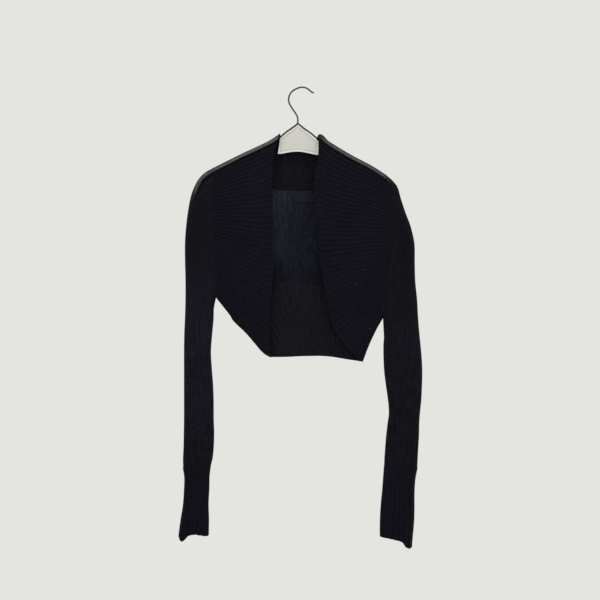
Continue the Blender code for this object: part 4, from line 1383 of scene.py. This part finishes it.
@dataclass(frozen=True)
class Cutter:
    """Computes every piece of cloth from the garment's form."""

    form: Form = Form()
    wale: float = 1.8
    course: float = 1.45
    fold_courses: float = 0.8
    rib_rows: int = 8
    rib_at_seam: float = 0.3
    seam_fade: float = 3.0
    roll_fade: Point = (8.0, 16.0)
    front_columns: int = 48
    neck_ribs: int = 27
    neck_rows: int = 40
    neck_inset: float = 2.5
    neck_crowding: float = 1.6
    nape_rib: float = 0.25
    nape_fade: Point = (1.0, 14.0)
    hem_ribs: int = 24
    hem_columns: int = 44
    back_columns: int = 170
    back_rows: int = 150
    back_crowding: float = 0.6
    seam_columns: Numbers = (0, 1.5, 3)
    tube_half: int = 60
    tube_fine: int = 160
    turn_crowding: float = 0.6
    sleeve_steps: int = 9
    cuff_steps: int = 12
    cuff_ribs: int = 15
    cuff_rib_rows: int = 12
    cuff_edge_rows: int = 8
    tube_shade: float = 0.7
    neck_shade: float = 0.9
    # painted light on the inside of the back panel, seen through the opening: darker towards the hem band, lighter
    # towards the top and at its upper left
    panel_tone: Table = ((-440, 0.6), (-370, 0.72), (-345, 0.9), (-320, 1.03), (-250, 1.05), (-205, 1.4))
    panel_glow: float = 0.5
    glow_x: Point = (-8.0, -40.0)
    glow_z: Point = (-360.0, -320.0)

    def plain_stitches(self, points: Array) -> Array:
        """Counts stitches across X and down Z, which keep their size where the cloth turns back over a fold."""
        down = -points[..., 2] + self.fold_courses * np.abs(points[..., 1])
        return np.stack([points[..., 0] / self.wale, down / self.course], axis=-1)

    def rib_stitches(self, phase: Array, length: Array) -> Array:
        """Counts wales across the ribs, and courses along them."""
        return np.stack(np.broadcast_arrays(WALES_PER_RIB * phase, length / self.course), axis=-1)

    def rib_share(self, distance: Array) -> Array:
        """Gives how far ribs stand at a distance from the seam that presses them down."""
        return self.rib_at_seam + (1.0 - self.rib_at_seam) * smoothstep(distance, 0.0, self.seam_fade)

    def ribbed(self, name: str, points: Array, normals: Array, ribs: Array, edge: Rim, fade: Array | float = 1.0,
               inner_tone: float = 1.0) -> Cloth:
        """Makes a ribbed piece whose ribs follow its rows and sink towards its last column.

        Args:
            name: the piece's name.
            points: its points.
            normals: their normals.
            ribs: the rib that each row lies on, counted from 0.
            edge: the rim of its first column.
            fade: how far the ribs stand, from 0 to 1.
            inner_tone: the painted shade of its inside.

        Returns:
            The piece.
        """
        length = run_length(points, 1)
        share = self.rib_share(length[:, -1:] - length) * fade
        return Cloth(name, Knit.RIB, points, normals, self.rib_stitches(ribs[:, None], length), share,
                     (Rim.SEWN, Rim.SEWN, edge, Rim.SEWN), inner_tone=inner_tone)

    def front(self, side: Side) -> Cloth:
        """Cuts a front. Each rib runs from the free edge to the armhole, and they fan out down the garment.

        Args:
            side: the side that it is on.

        Returns:
            The piece.
        """
        form, shares, columns = self.form, even_shares(self.rib_rows * side.front_ribs), even_shares(self.front_columns)
        seam = along(np.array([side.shoulder, side.armpit]), shares)
        flat = patch(along(side.free_edge, shares), seam, along(side.ridge, columns), along(side.flank[::-1], columns))
        points, normals = form.lift(flat, FRONT)
        plane = side.hand * square_to(np.subtract(side.armpit, side.shoulder))
        normals[:, -1] = in_plane(normals[:, -1], plane)
        points[:, -1] += form.seam_gap / 2 * plane
        fade = smoothstep(form.off_roll(flat.reshape(-1, 2)).reshape(flat.shape[:2]), *self.roll_fade)
        return self.ribbed(f"knit_front_{side.name}", points, normals, shares * side.front_ribs, Rim.FREE, fade)

    def neck_band(self) -> Cloth:
        """Cuts the band at the back of the neck, with upright ribs.

        Returns:
            The piece.
        """
        form, (low, high) = self.form, self.form.neck_seam_x
        x = np.linspace(low + self.neck_inset, high - self.neck_inset, self.rib_rows * self.neck_ribs + 1)
        top, foot = (np.stack([x, z], axis=1) for z in (form.ridge_z(x), form.beside_seam(x, 1)))
        flat = between(top, foot, even_shares(self.neck_rows) ** self.neck_crowding)
        points, normals = form.lift(flat, BACK)
        fade = self.nape_rib + (1.0 - self.nape_rib) * smoothstep(run_length(points, 1), *self.nape_fade)
        ribs = np.linspace(0.0, self.neck_ribs, len(x))
        return self.ribbed("knit_neck_band", points, normals, ribs, Rim.SEWN, fade, self.neck_shade)

    def back_panel(self) -> Cloth:
        """Cuts the plain back, from the shoulders and the neck seam down to the hem band's seam.

        Returns:
            The piece.
        """
        form, (left, right) = self.form, self.form.sides
        low, high = form.neck_seam_x
        x = np.linspace(left.shoulder[0], right.shoulder[0], self.back_columns + 1)
        x = np.sort(np.concatenate([x, *([low + step, high - step] for step in self.seam_columns)]))
        top = np.stack([x, np.where((x > low) & (x < high), form.beside_seam(x, -1), form.ridge_z(x))], axis=1)
        foot_x = np.interp(x, [x[0], x[-1]], [left.armpit[0], right.armpit[0]])
        foot = np.stack([foot_x, form.waist_z(foot_x) + form.seam_gap / 2], axis=1)
        planes = {}
        for column, side in ((0, left), (-1, right)):
            planes[column] = square_to(np.subtract(side.armpit, side.shoulder))
            for line in (top, foot):
                line[column] += side.hand * form.seam_gap / 2 * planes[column][[0, 2]]
        shares = even_shares(self.back_rows)
        crowded = 0.5 - 0.5 * np.cos(np.linspace(0.0, math.pi, self.back_rows + 1))
        flat = between(top, foot, self.back_crowding * crowded + (1.0 - self.back_crowding) * shares)
        points, normals = form.lift(flat, BACK)
        normals[:, -1] = in_plane(normals[:, -1], square_to(np.gradient(foot, axis=0)))
        for column, plane in planes.items():
            normals[column] = in_plane(normals[column], plane)
        x, z = points[..., 0], points[..., 2]
        # painted light and shade on the panel's inside
        tone = read(self.panel_tone, z)
        tone *= 1.0 + self.panel_glow * smoothstep(x, *self.glow_x) * smoothstep(z, *self.glow_z)
        return Cloth("knit_back_panel", Knit.PLAIN, points, normals, self.plain_stitches(points), np.zeros_like(z),
                     (Rim.SEWN,) * 4, inner_tone=tone)

    def hem_band(self) -> Cloth:
        """Cuts the ribbed band across the lower back, its ribs fanning out from the hem.

        Returns:
            The piece.
        """
        form, (left, right) = self.form, self.form.sides
        shares, columns = even_shares(self.rib_rows * self.hem_ribs), even_shares(self.hem_columns)
        seam_x = left.armpit[0] + (right.armpit[0] - left.armpit[0]) * shares
        seam = np.stack([seam_x, form.waist_z(seam_x) - form.seam_gap / 2], axis=1)
        flat = patch(along(form.hem, shares), seam, along(left.flank[::-1], columns), along(right.flank[::-1], columns))
        points, normals = form.lift(flat, BACK)
        normals[:, -1] = in_plane(normals[:, -1], square_to(np.gradient(seam, axis=0)))
        return self.ribbed("knit_hem_band", points, normals, shares * self.hem_ribs, Rim.FREE)

    def ring(self, section: Array, steps: int, even: bool) -> tuple[Array, Array, Array]:
        """Goes round one section of a sleeve, from its inner fold over the back and the front.

        Args:
            section: the section's outer and inner points in X and Z.
            steps: steps over half of it.
            even: whether they are even, as suits ribs, rather than closer where the section turns.

        Returns:
            The points, the normals and the lengths from the outer fold.
        """
        line = along(section.reshape(2, 2), even_shares(self.tube_fine))
        halves = []
        for layer in Layer:
            points, normals = self.form.lift(line, layer, split=False)
            points[[0, -1], 1] = 0.0
            measure = length = lengths(points)
            if not even:
                angle = np.arccos(np.clip((normals[1:] * normals[:-1]).sum(1), -1.0, 1.0))
                turned = np.concatenate([[0.0], np.cumsum(angle)])
                measure = length + self.turn_crowding * turned * length[-1] / math.pi
            rows = np.column_stack([points, normals, -layer.value * length])
            halves.append(pick(rows, measure, np.linspace(0.0, measure[-1], steps + 1)))
        front, back = halves
        rows = np.vstack([back[::-1], front[1:]])
        return rows[:, :3], in_plane(rows[:, 3:6], square_to(section[2:] - section[:2])), rows[:, 6]

    def tube(self, name: str, sections: Array, knit: Knit, side: Side, edge: Table = ()) -> Cloth:
        """Makes a sleeve or a cuff through its sections.

        Args:
            name: the piece's name.
            sections: rows of outer x, outer z, inner x, inner z.
            knit: how it is knitted.
            side: the side that it is on.
            edge: how far its last row drops, against the share of the way across.

        Returns:
            The piece, half a gap off the seam at each joined end.
        """
        ribbed = knit is Knit.RIB
        steps = self.cuff_ribs * self.cuff_rib_rows // 2 if ribbed else self.tube_half
        grids = [self.ring(section, steps, ribbed) for section in sections]
        points, normals, arcs = map(np.array, zip(*grids))
        for row, other in ((0, 1),) if edge else ((0, 1), (-1, -2)):
            crossing = square_to(sections[row][2:] - sections[row][:2])
            toward = points[other].mean(axis=0) - points[row].mean(axis=0)
            points[row] += self.form.seam_gap / 2 * crossing * np.sign(toward @ crossing)
        if edge:
            outer, way = sections[-1][:2], sections[-1][2:] - sections[-1][:2]
            across = (points[-1][:, [0, 2]] - outer) @ way / (way @ way)
            fade = even_shares(self.cuff_edge_rows)[1:] ** 2
            points[-self.cuff_edge_rows :, :, 2] -= fade[:, None] * read(smooth_line(edge, steps=6), across)
        if ribbed:
            down = run_length(points, 0)
            share = self.rib_share(down)
            stitches = self.rib_stitches(np.linspace(0.0, self.cuff_ribs, points.shape[1])[None, :], down)
        else:
            share = np.zeros(points.shape[:2])
            stitches = np.stack([arcs / self.wale, -points[..., 2] / self.course], axis=-1)
        rims = (Rim.SEWN, Rim.FREE if edge else Rim.SEWN, Rim.FREE, Rim.FREE)
        return Cloth(name, knit, points, normals, stitches, share, rims, around=True,
                     tone=read(side.arm_tone, points[..., 2]), inner_tone=self.tube_shade)

    def sleeve(self, side: Side) -> Cloth:
        """Cuts a plain sleeve, from the armhole to the cuff."""
        return self.tube(f"knit_sleeve_{side.name}", smooth_line(side.sleeve, self.sleeve_steps), Knit.PLAIN, side)

    def cuff(self, side: Side) -> Cloth:
        """Cuts a long ribbed cuff."""
        sections = smooth_line([side.sleeve[-1], *side.cuff], self.cuff_steps)
        return self.tube(f"knit_cuff_{side.name}", sections, Knit.RIB, side, side.cuff_edge)


# ---- label, hanger and plate


@dataclass(frozen=True)
class Label:
    """The bare woven label inside the back of the neck."""

    form: Form = Form()
    left: float = -9.0
    right: float = 33.0
    top: float = -204.5
    foot: float = -225.0
    columns: int = 43
    rows: int = 23
    clearance: float = 0.7
    thick: float = 0.8
    curl: float = 1.2
    middle_curl: float = 0.35
    bar_inset: float = 0.8
    bar_foot: float = 7.0

    def build(self) -> Cloth:
        """Makes the label, whose foot and corners curl a little off the cloth.

        Returns:
            The label.
        """
        x, z = np.linspace(self.left, self.right, self.columns), np.linspace(self.top, self.foot, self.rows)
        flat = np.stack(np.meshgrid(x, z, indexing="ij"), axis=-1)
        points, normals = self.form.lift(flat, BACK)
        down = (self.top - flat[..., 1]) / (self.top - self.foot)
        side = np.abs(2 * (flat[..., 0] - self.left) / (self.right - self.left) - 1)
        lifted = self.curl * down**3 * (self.middle_curl + (1.0 - self.middle_curl) * side**4)
        points = points - (self.form.wall + self.clearance + lifted)[..., None] * normals
        return Cloth("satin_neck_label", Knit.PLAIN, points, normals, flat * [1.0, -1.0], np.zeros(side.shape),
                     (Rim.FREE,) * 4)

    def thread_lines(self) -> list[tuple[Array, Array]]:
        """Places the two short bars of thread that hold the label's top corners.

        Returns:
            The points of each bar, and the ways that they face.
        """
        lines = []
        for x in (self.left + self.bar_inset, self.right - self.bar_inset):
            flat = np.array([[x, self.top - self.bar_inset], [x, self.top - self.bar_foot]])
            points, normals = self.form.lift(flat, BACK)
            lines.append((points - (self.form.wall + self.clearance + self.thick) * normals, -normals))
        return lines


@dataclass(frozen=True)
class Wire:
    """The hanger's one wire: hook, shoulders under the cloth, and a bar between two loops.

    A loop is x, z and the angles where it starts and ends. The tables give the thickness, as a share of the radius,
    against the length from the hook's tip and from the other end, and the coating with its painted shade against the
    length of bare wire.
    """

    form: Form = Form()
    radius: float = 1.6
    clearance: float = 0.3
    sides: int = 18
    hook: Table = (
        (29.8, -8.8), (25.6, -7.2), (19.2, -2), (13, 1.6), (6.4, 2.6), (0, 1.6), (-9.4, -2.6), (-15.8, -8.2),
        (-19.6, -15.4), (-20.8, -23.2), (-18.8, -30.8), (-13.8, -39.6), (-8.2, -47.8), (-3.8, -55), (-2.4, -61),
        (-2.4, -68),
    )
    left_bare: Table = ((-4.6, -72), (-15.2, -79.8), (-22.4, -84.6), (-32, -92.4), (-38, -97.4))
    right_bare: Table = ((36, -99.2), (27, -92), (17.2, -84.8), (9.8, -79.8), (1.7, -73), (-1.6, -70.4))
    left_x: Numbers = (-62, -90, -118, -146, -170)
    right_x: Numbers = (162, 140, 114, 88, 62)
    slope_reach: float = 6.0
    loops: tuple[Numbers, ...] = ((-181, -181.5, 110, 270), (172, -190.5, -90, 60))
    loop_radius: float = 8.0
    loop_points: int = 9
    steps: int = 6
    ball: Table = ((0, 0.3), (0.35, 0.95), (0.9, 1.4), (1.7, 1.7), (2.6, 1.78), (3.6, 1.7), (4.8, 1.4), (6, 1.12),
                   (7.5, 1))
    ball_end: float = 8.5
    cut_end: Table = ((0, 0.5), (0.25, 0.75), (0.6, 0.9), (1.1, 0.98), (1.6, 1))
    # painted shade: 0.5 to 0.6 on the bare shoulders beside the plate; 1 where the wire carries cloth is the dull black
    # coating, which also stands in for the bar's shade
    coat: Table = ((0, 0), (6, 0.5), (44, 0.6), (50, 1))

    def under_ridge(self, places: Numbers) -> Array:
        """Runs the wire inside the folded shoulders.

        Args:
            places: places along X.

        Returns:
            Points in X and Z.
        """
        form, x, reach = self.form, np.array(places), self.slope_reach
        slope = form.ridge_z(x + reach) - form.ridge_z(x - reach)
        below = (form.wall + self.clearance + self.radius) * np.hypot(1.0, slope / (2 * reach))
        return np.stack([x, form.ridge_z(x) - below], axis=1)

    def route(self) -> tuple[Array, int]:
        """Leads the wire from the hook's tip all round the hanger.

        Returns:
            The points that it follows in X and Z, and how many of them are the hook's.
        """
        turns = []
        for x, z, start, end in self.loops:
            angle = np.radians(np.linspace(start, end, self.loop_points))
            turns.append(np.array([x, z]) + self.loop_radius * np.stack([np.cos(angle), np.sin(angle)], axis=1))
        left = np.vstack([self.hook[-1:], self.left_bare, self.under_ridge(self.left_x), turns[0]])
        right = np.vstack([turns[1], self.under_ridge(self.right_x), self.right_bare])
        hook, left, right = (smooth_line(line, self.steps) for line in (self.hook, left, right))
        return np.vstack([hook, left[1:], right]), len(hook)

    def build(self) -> Object:
        """Makes the line of the wire, with a ball on the hook's tip.

        Returns:
            A mesh of the line, which carries the wire's thickness and its coating with painted shade.
        """
        flat, hook = self.route()
        length = lengths(flat)
        ball, cut_end = (np.array(table)[:, 0] for table in (self.ball, self.cut_end))
        wanted = np.unique(np.concatenate([ball, length[length > self.ball_end][:-2], length[-1] - cut_end]))
        shape = chain("hanger_wire_bent", pick(deepen(flat, 0.0), length, wanted))
        thick = read(self.ball, wanted) * read(self.cut_end, length[-1] - wanted)
        bare = np.minimum(wanted - length[hook], length[-1] - wanted)
        write(shape, thickness=thick, coat=read(self.coat, bare))
        return shape


@dataclass(frozen=True)
class Plate:
    """The moulded plate in the hanger's top corner, with an arched foot and a raised rim, and nothing on it."""

    depth: float = 1.6
    top: Table = ((-38, -99.2), (-2.4, -72.6), (39.4, -105.8))
    foot: Table = ((39, -133.2), (-2.6, -126.2), (-42.4, -131.2))
    arch_drop: float = 5.0
    arch_steps: int = 16
    arch_tries: int = 6
    arch_gap: float = 0.1
    corner: float = 1.3
    least_corner: float = 0.25
    corner_shrink: float = 0.2
    corner_shares: Numbers = (0.2, 0.4, 0.6, 0.8)
    bevel: float = 0.45
    bevel_cut: float = 0.3
    rim: float = 3.4
    groove: float = 0.6
    groove_insets: Point = (0.3, 1.3)
    field_inset: float = 1.6
    field_drop: float = 0.15
    inner_rings: Numbers = (0.7, 0.35)
    side_points: int = 12
    arch_points: int = 44
    ring_shades: Numbers = (1, 1, 1, 1, 0.8, 0.8, 0.96, 0.96, 0.96)
    lit_rings: int = 4
    lit: float = 0.28
    lit_foot: Point = (-112.0, -124.0)
    lit_end: Point = (33.0, 35.5)
    sharp_degrees: float = 35.0

    def outline(self, inset: float) -> list[Array]:
        """Gives the plate's outline moved in, with sharp corners.

        Args:
            inset: how far in.

        Returns:
            The points in X and Z of its five sides, the arched foot last.
        """
        top, foot, drop = np.array(self.top), np.array(self.foot), [0.0, self.arch_drop]
        ends = [2 * foot[end] - foot[1] + drop for end in (0, 2)]
        arch = smooth_line(np.vstack([ends[0], foot, ends[1]]), self.arch_steps)
        slope = unit(np.gradient(arch, axis=0))
        arch = (arch + inset * np.stack([slope[:, 1], -slope[:, 0]], axis=1))[::-1]
        lines = []
        for start, end in ((foot[2], top[0]), (top[0], top[1]), (top[1], top[2]), (top[2], foot[0])):
            way = unit(end - start)
            lines.append((start + inset * np.array([way[1], -way[0]]), way))
        corners = []
        for (start, way), (other, other_way) in zip(lines, lines[1:]):
            share = np.linalg.solve(np.stack([way, -other_way], axis=1), other - start)[0]
            corners.append(start + share * way)
        for start, way in (lines[-1], lines[0]):
            point = start
            for _ in range(self.arch_tries):  # closes in on where the side meets the arch
                point = start + (read(arch, point[0]) - start[1]) / way[1] * way
            corners.append(point)
        low, high = corners[4][0] + self.arch_gap, corners[3][0] - self.arch_gap
        inside = arch[(arch[:, 0] > low) & (arch[:, 0] < high)][::-1]
        loop = [corners[4], *corners[:4]]
        return [np.vstack(pair) for pair in zip(loop, loop[1:])] + [np.vstack([corners[3], inside, corners[4]])]

    def ring(self, inset: float) -> Array:
        """Gives the plate's outline moved in, with its corners rounded.

        Args:
            inset: how far in.

        Returns:
            Points in X and Z, as many for every inset.
        """
        sides, points = self.outline(inset), []
        reach = max(self.least_corner, self.corner - self.corner_shrink * inset)
        for k, side in enumerate(sides):
            count = self.arch_points if side is sides[-1] else self.side_points
            share = reach / norm(np.diff(side, axis=0), axis=1).sum()
            points.append(along(side, np.linspace(share, 1.0 - share, count)))
            here, after = side[-1], sides[(k + 1) % len(sides)]
            back, ahead = here - reach * unit(side[-1] - side[-2]), here + reach * unit(after[1] - after[0])
            for t in self.corner_shares:
                points.append(((1 - t) ** 2 * back + 2 * t * (1 - t) * here + t**2 * ahead)[None])
        return np.vstack(points)

    def build(self) -> Object:
        """Makes the plate from rings of its outline, each further in, with a groove inside its rim.

        Returns:
            The object, which carries how lit each part of it is.
        """
        half, bevel, cut, rim = self.depth / 2, self.bevel, self.bevel_cut, self.rim
        edge = [(0.0, half - bevel), (cut * bevel, half - cut * bevel), (bevel, half), (rim, half)]
        groove = [(rim + inset, half - self.groove) for inset in self.groove_insets]
        profile = [*edge, *groove, (rim + self.field_inset, half - self.field_drop)]
        rings = [deepen(self.ring(inset), -depth) for inset, depth in profile]
        centre = rings[-1].mean(axis=0)
        rings.extend(centre + share * (rings[-1] - centre) for share in self.inner_rings)
        front, over = np.array(rings), [1.0, -1.0, 1.0]
        grid = np.vstack([front[::-1], front * over])
        count = front.shape[1]
        here, after = np.arange(count), (np.arange(count) + 1) % count
        faces = []
        for row in range(len(grid) - 1):
            low, high = row * count, (row + 1) * count
            faces.append(np.stack([low + here, low + after, high + after, high + here], axis=1))
        shape = new_object("plate_moulded", np.vstack([grid.reshape(-1, 3), centre, centre * over]),
                           faces=np.vstack(faces))
        level = np.array(self.ring_shades)[:, None] + np.zeros(count)
        edge = front[: self.lit_rings]
        near = np.maximum(smoothstep(edge[..., 2], *self.lit_foot), smoothstep(edge[..., 0], *self.lit_end))
        level[: self.lit_rings] += self.lit * near
        write(shape, shade=np.concatenate([level[::-1].ravel(), level.ravel(), [self.ring_shades[-1]] * 2]))
        self.close(shape, count, grid.shape[0] * count)
        return shape

    def close(self, shape: Object, count: int, last: int) -> None:
        """Fans faces from the two middle points to the innermost rings, and sharpens the edges.

        Args:
            shape: the plate, whose last two points are the middles of its faces.
            count: the points of a ring.
            last: the number of the first middle point.
        """
        mesh = bmesh.new()
        mesh.from_mesh(shape.data)
        mesh.verts.ensure_lookup_table()
        for middle, start in ((last, 0), (last + 1, last - count)):
            for i in range(count):
                mesh.faces.new([mesh.verts[middle], mesh.verts[start + i], mesh.verts[start + (i + 1) % count]])
        bmesh.ops.recalc_face_normals(mesh, faces=mesh.faces)
        for face in mesh.faces:
            face.smooth = True
        mesh.to_mesh(shape.data)
        mesh.free()
        shape.data.set_sharp_from_angle(angle=math.radians(self.sharp_degrees))


# ---- the whole object


@dataclass(frozen=True)
class StitchRow:
    """The sizes of a row of stitches in metres, as its tree takes them."""

    spacing: float
    length: float
    width: float
    height: float
    lift: float
    lean: float = 0.35


@dataclass
class Wardrobe:
    """Puts the garment and its hanger together, and reports each piece."""

    finishes: dict[str, Material] = field(default_factory=make_finishes)
    trees: ShapeTrees = field(default_factory=ShapeTrees)
    cutter: Cutter = Cutter()
    wire: Wire = Wire()
    plate: Plate = Plate()
    label: Label = Label()
    rib_height: float = 1.15
    link: StitchRow = StitchRow(0.0027, 0.0028, 0.0011, 0.0008, 0.0004)
    edge: StitchRow = StitchRow(0.0021, 0.0026, 0.0012, 0.001, -0.0002)
    label_bar: StitchRow = StitchRow(0.0011, 0.0022, 0.0006, 0.0005, 0.0001, lean=1.2)
    inner_link_gap: float = 0.3
    specks: tuple[tuple[str, float, float], ...] = (
        ("front_right", 82.0, -381.0), ("sleeve_right", 170.5, -397.0), ("sleeve_left", -194.0, -313.0),
    )
    linty: tuple[str, ...] = ("front_right", "sleeve_left", "sleeve_right", "cuff_left", "cuff_right", "back_panel")
    specks_each: int = 3

    def place(self, shape: Object, slot: str, *nodes: str) -> None:
        """Makes a finished piece part of the object.

        Args:
            shape: the piece.
            slot: the material slot for it, which is not used.
            nodes: the CAD nodes that it stands for.
        """
        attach(shape, BODY)
        if nodes:
            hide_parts(*nodes)
        LOG.info("%s: %d faces", shape.name, len(shape.data.polygons))

    def sew(self, cloth: Cloth, node: str, slot: str, material: Material, thick: float, seed: int) -> None:
        """Builds one piece of cloth and logs the size of its cut.

        Args:
            cloth: the piece.
            node: the CAD node that it stands for.
            slot: the material slot.
            material: its material.
            thick: its thickness.
            seed: the seed for its ribs.
        """
        shape = cloth.build(thick, *self.cutter.form.roll_marks(cloth.points))
        shape.data.materials.append(material)
        if cloth.knit is Knit.RIB:
            self.trees.apply("raise_ribs", shape, material, rib_height=self.rib_height * MM, seed=float(seed))
        self.place(shape, slot, node)
        width, length, area = cloth.flat_size()
        LOG.info("%s: cut %.3f by %.3f m, %.4f m2", shape.name, width, length, area)

    def stitch(self, name: str, lines: list[tuple[Array, Array]], row: StitchRow, material: Material,
               slot: str, seed: int) -> None:
        """Lays a row of stitches along lines.

        Args:
            name: the row's name.
            lines: the points of each line, and the ways that its cloth faces.
            row: the sizes of the stitches.
            material: their material.
            slot: the material slot.
            seed: the seed for their sizes.
        """
        shape = chain(name, *(points for points, _ in lines))
        write(shape, out_way=np.vstack([ways for _, ways in lines]))
        self.trees.apply("stitch_row", shape, material, **asdict(row), seed=seed)
        self.place(shape, slot)

    def build(self) -> None:
        """Builds every piece."""
        cutter, finishes = self.cutter, self.finishes
        form = cutter.form
        wire = self.wire.build()
        self.trees.apply("bent_wire", wire, finishes["wire"], radius=self.wire.radius * MM, sides=self.wire.sides)
        self.place(wire, "hanger_steel", "hanger_wire")
        plate = self.plate.build()
        plate.data.materials.append(finishes["plate"])
        self.place(plate, "hanger_plastic", "hanger_plate")

        pieces = {"back_panel": cutter.back_panel(), "neck_band": cutter.neck_band(), "hem_band": cutter.hem_band()}
        for side in form.sides:
            pieces[f"front_{side.name}"] = cutter.front(side)
            pieces[f"sleeve_{side.name}"] = cutter.sleeve(side)
            pieces[f"cuff_{side.name}"] = cutter.cuff(side)
        for seed, (node, cloth) in enumerate(pieces.items()):
            self.sew(cloth, node, f"{cloth.knit.value}_knit", finishes[cloth.knit.value], form.wall, seed)
        self.sew(self.label.build(), "neck_label", "label_cloth", finishes["label"], self.label.thick, 0)
        self.seams(pieces)
        self.fluff(pieces)

    def fluff(self, pieces: dict[str, Cloth]) -> None:
        """Leaves a few specks of lint on the fronts and the sleeves.

        Args:
            pieces: the cloth by its CAD nodes.
        """
        chance = np.random.default_rng(SEED)
        tops = {node: cloth.raised(self.rib_height).reshape(-1, 3) for node, cloth in pieces.items()}
        points = []
        for node, x, z in self.specks:
            rows = tops[node][tops[node][:, 1] < 0.0]
            points.append(rows[np.hypot(rows[:, 0] - x, rows[:, 2] - z).argmin()])
        for node in self.linty:
            points.extend(tops[node][chance.integers(0, len(tops[node]), self.specks_each)])
        shape = new_object("lint_specks", np.array(points))
        self.trees.apply("lint", shape, self.finishes["lint"], seed=SEED)
        self.place(shape, "rib_knit")

    def seams(self, pieces: dict[str, Cloth]) -> None:
        """Links the pieces with rows of stitches.

        Args:
            pieces: the cloth by its CAD nodes.
        """
        linking, edging, high = self.finishes["linking"], self.finishes["edging"], self.rib_height
        for seed, side in enumerate(self.cutter.form.sides):
            front, cuff = pieces[f"front_{side.name}"], pieces[f"cuff_{side.name}"]
            armhole = [front.line(column=-1), pieces["back_panel"].line(row=0 if side.hand > 0 else -1)]
            self.stitch(f"armhole_stitches_{side.name}", armhole, self.link, linking, "plain_knit", seed)
            for name, line, row, material, start in (
                ("side", front.line(row=-1), replace(self.link, lift=0.0), linking, 40),
                ("edge", front.line(column=0, height=high), self.edge, edging, 10),
                ("cuff", cuff.line(row=0), self.link, edging, 20),
                ("wrist", cuff.line(row=-1, height=high), self.edge, edging, 30),
            ):
                self.stitch(f"{name}_stitches_{side.name}", [line], row, material, "rib_knit", start + seed)
        neck, hem = pieces["neck_band"], pieces["hem_band"]
        points, normals = neck.line(column=-1)
        inside = (points - (self.cutter.form.wall + self.inner_link_gap) * normals, -normals)
        for name, lines, row, seed in (
            ("neck", [(points, normals), inside], self.link, 6),
            ("waist", [hem.line(column=-1)], self.link, 7),
            ("hem", [hem.line(column=0, height=high)], self.edge, 9),
        ):
            self.stitch(f"{name}_stitches", lines, row, edging, "rib_knit", seed)
        bars, thread = self.label.thread_lines(), self.finishes["label_thread"]
        self.stitch("label_stitches", bars, self.label_bar, thread, "label_cloth", 8)


# ---- studio


@dataclass(frozen=True)
class Studio:
    """Soft even light, a pale floor far below, and a camera square to the garment, in metres."""

    wall_colour: Colour = (0.776, 0.783, 0.745, 1.0)
    floor_colour: Colour = (0.9, 0.9, 0.87, 1.0)
    target: Point = (0.002, -0.423)
    distance: float = 1.1
    frame_width: float = 1.2
    sensor: float = 36.0
    clip: Point = (0.01, 20.0)
    lamp_place: tuple[float, float, float] = (0.1, -0.35, 0.9)
    lamp_target_z: float = -0.3
    lamp_size: float = 0.8
    lamp_power: float = 9.0
    floor_z: float = -1.6
    floor_radius: float = 1.0
    floor_sides: int = 64

    def build(self) -> None:
        """Adds the world, the light, the floor and the camera."""
        scene = bpy.context.scene
        scene.view_settings.view_transform = "Standard"
        world = bpy.data.worlds.new("soft_studio")
        world.use_nodes = True
        Graph(world.node_tree).paint(world.node_tree.nodes["Background"], Color=self.wall_colour, Strength=1.0)
        scene.world = world
        self.light()
        self.floor()
        camera = bpy.data.cameras.new("camera")
        camera.sensor_width = self.sensor
        camera.lens = self.sensor * self.distance / self.frame_width
        camera.clip_start, camera.clip_end = self.clip
        scene.camera = add_object("camera", camera)
        scene.camera.location = (self.target[0], -self.distance, self.target[1])
        scene.camera.rotation_euler = (math.radians(90.0), 0.0, 0.0)

    def light(self) -> None:
        """Adds one large lamp overhead, turned to the garment."""
        lamp = bpy.data.lights.new("overhead", "AREA")
        lamp.shape, lamp.size, lamp.energy = "DISK", self.lamp_size, self.lamp_power
        shape = add_object("overhead", lamp)
        shape.location = self.lamp_place
        shape.rotation_euler = (math.atan2(self.lamp_place[1], self.lamp_place[2] - self.lamp_target_z), 0.0, 0.0)

    def floor(self) -> None:
        """Adds a pale disc of floor, below everything that the camera frames."""
        angle = np.linspace(0.0, math.tau, self.floor_sides, endpoint=False)
        ring = self.floor_radius * np.stack([np.cos(angle), np.sin(angle), np.zeros(len(angle))], axis=1)
        disc = new_object("floor", (ring + [0.0, 0.0, self.floor_z]) / MM, faces=[list(range(len(ring)))])
        material, graph, shader, where = new_material("pale_floor", self.floor_colour, Roughness=0.8)
        graph.paint(shader, Roughness=graph.patches(where, 6.0, 0.7, 0.85))
        disc.data.materials.append(material)


def main() -> None:
    """Loads the frame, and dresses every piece."""
    logging.basicConfig(level=logging.INFO, format="%(name)s: %(message)s")
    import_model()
    Wardrobe().build()
    Studio().build()


if __name__ == "__main__":
    main()
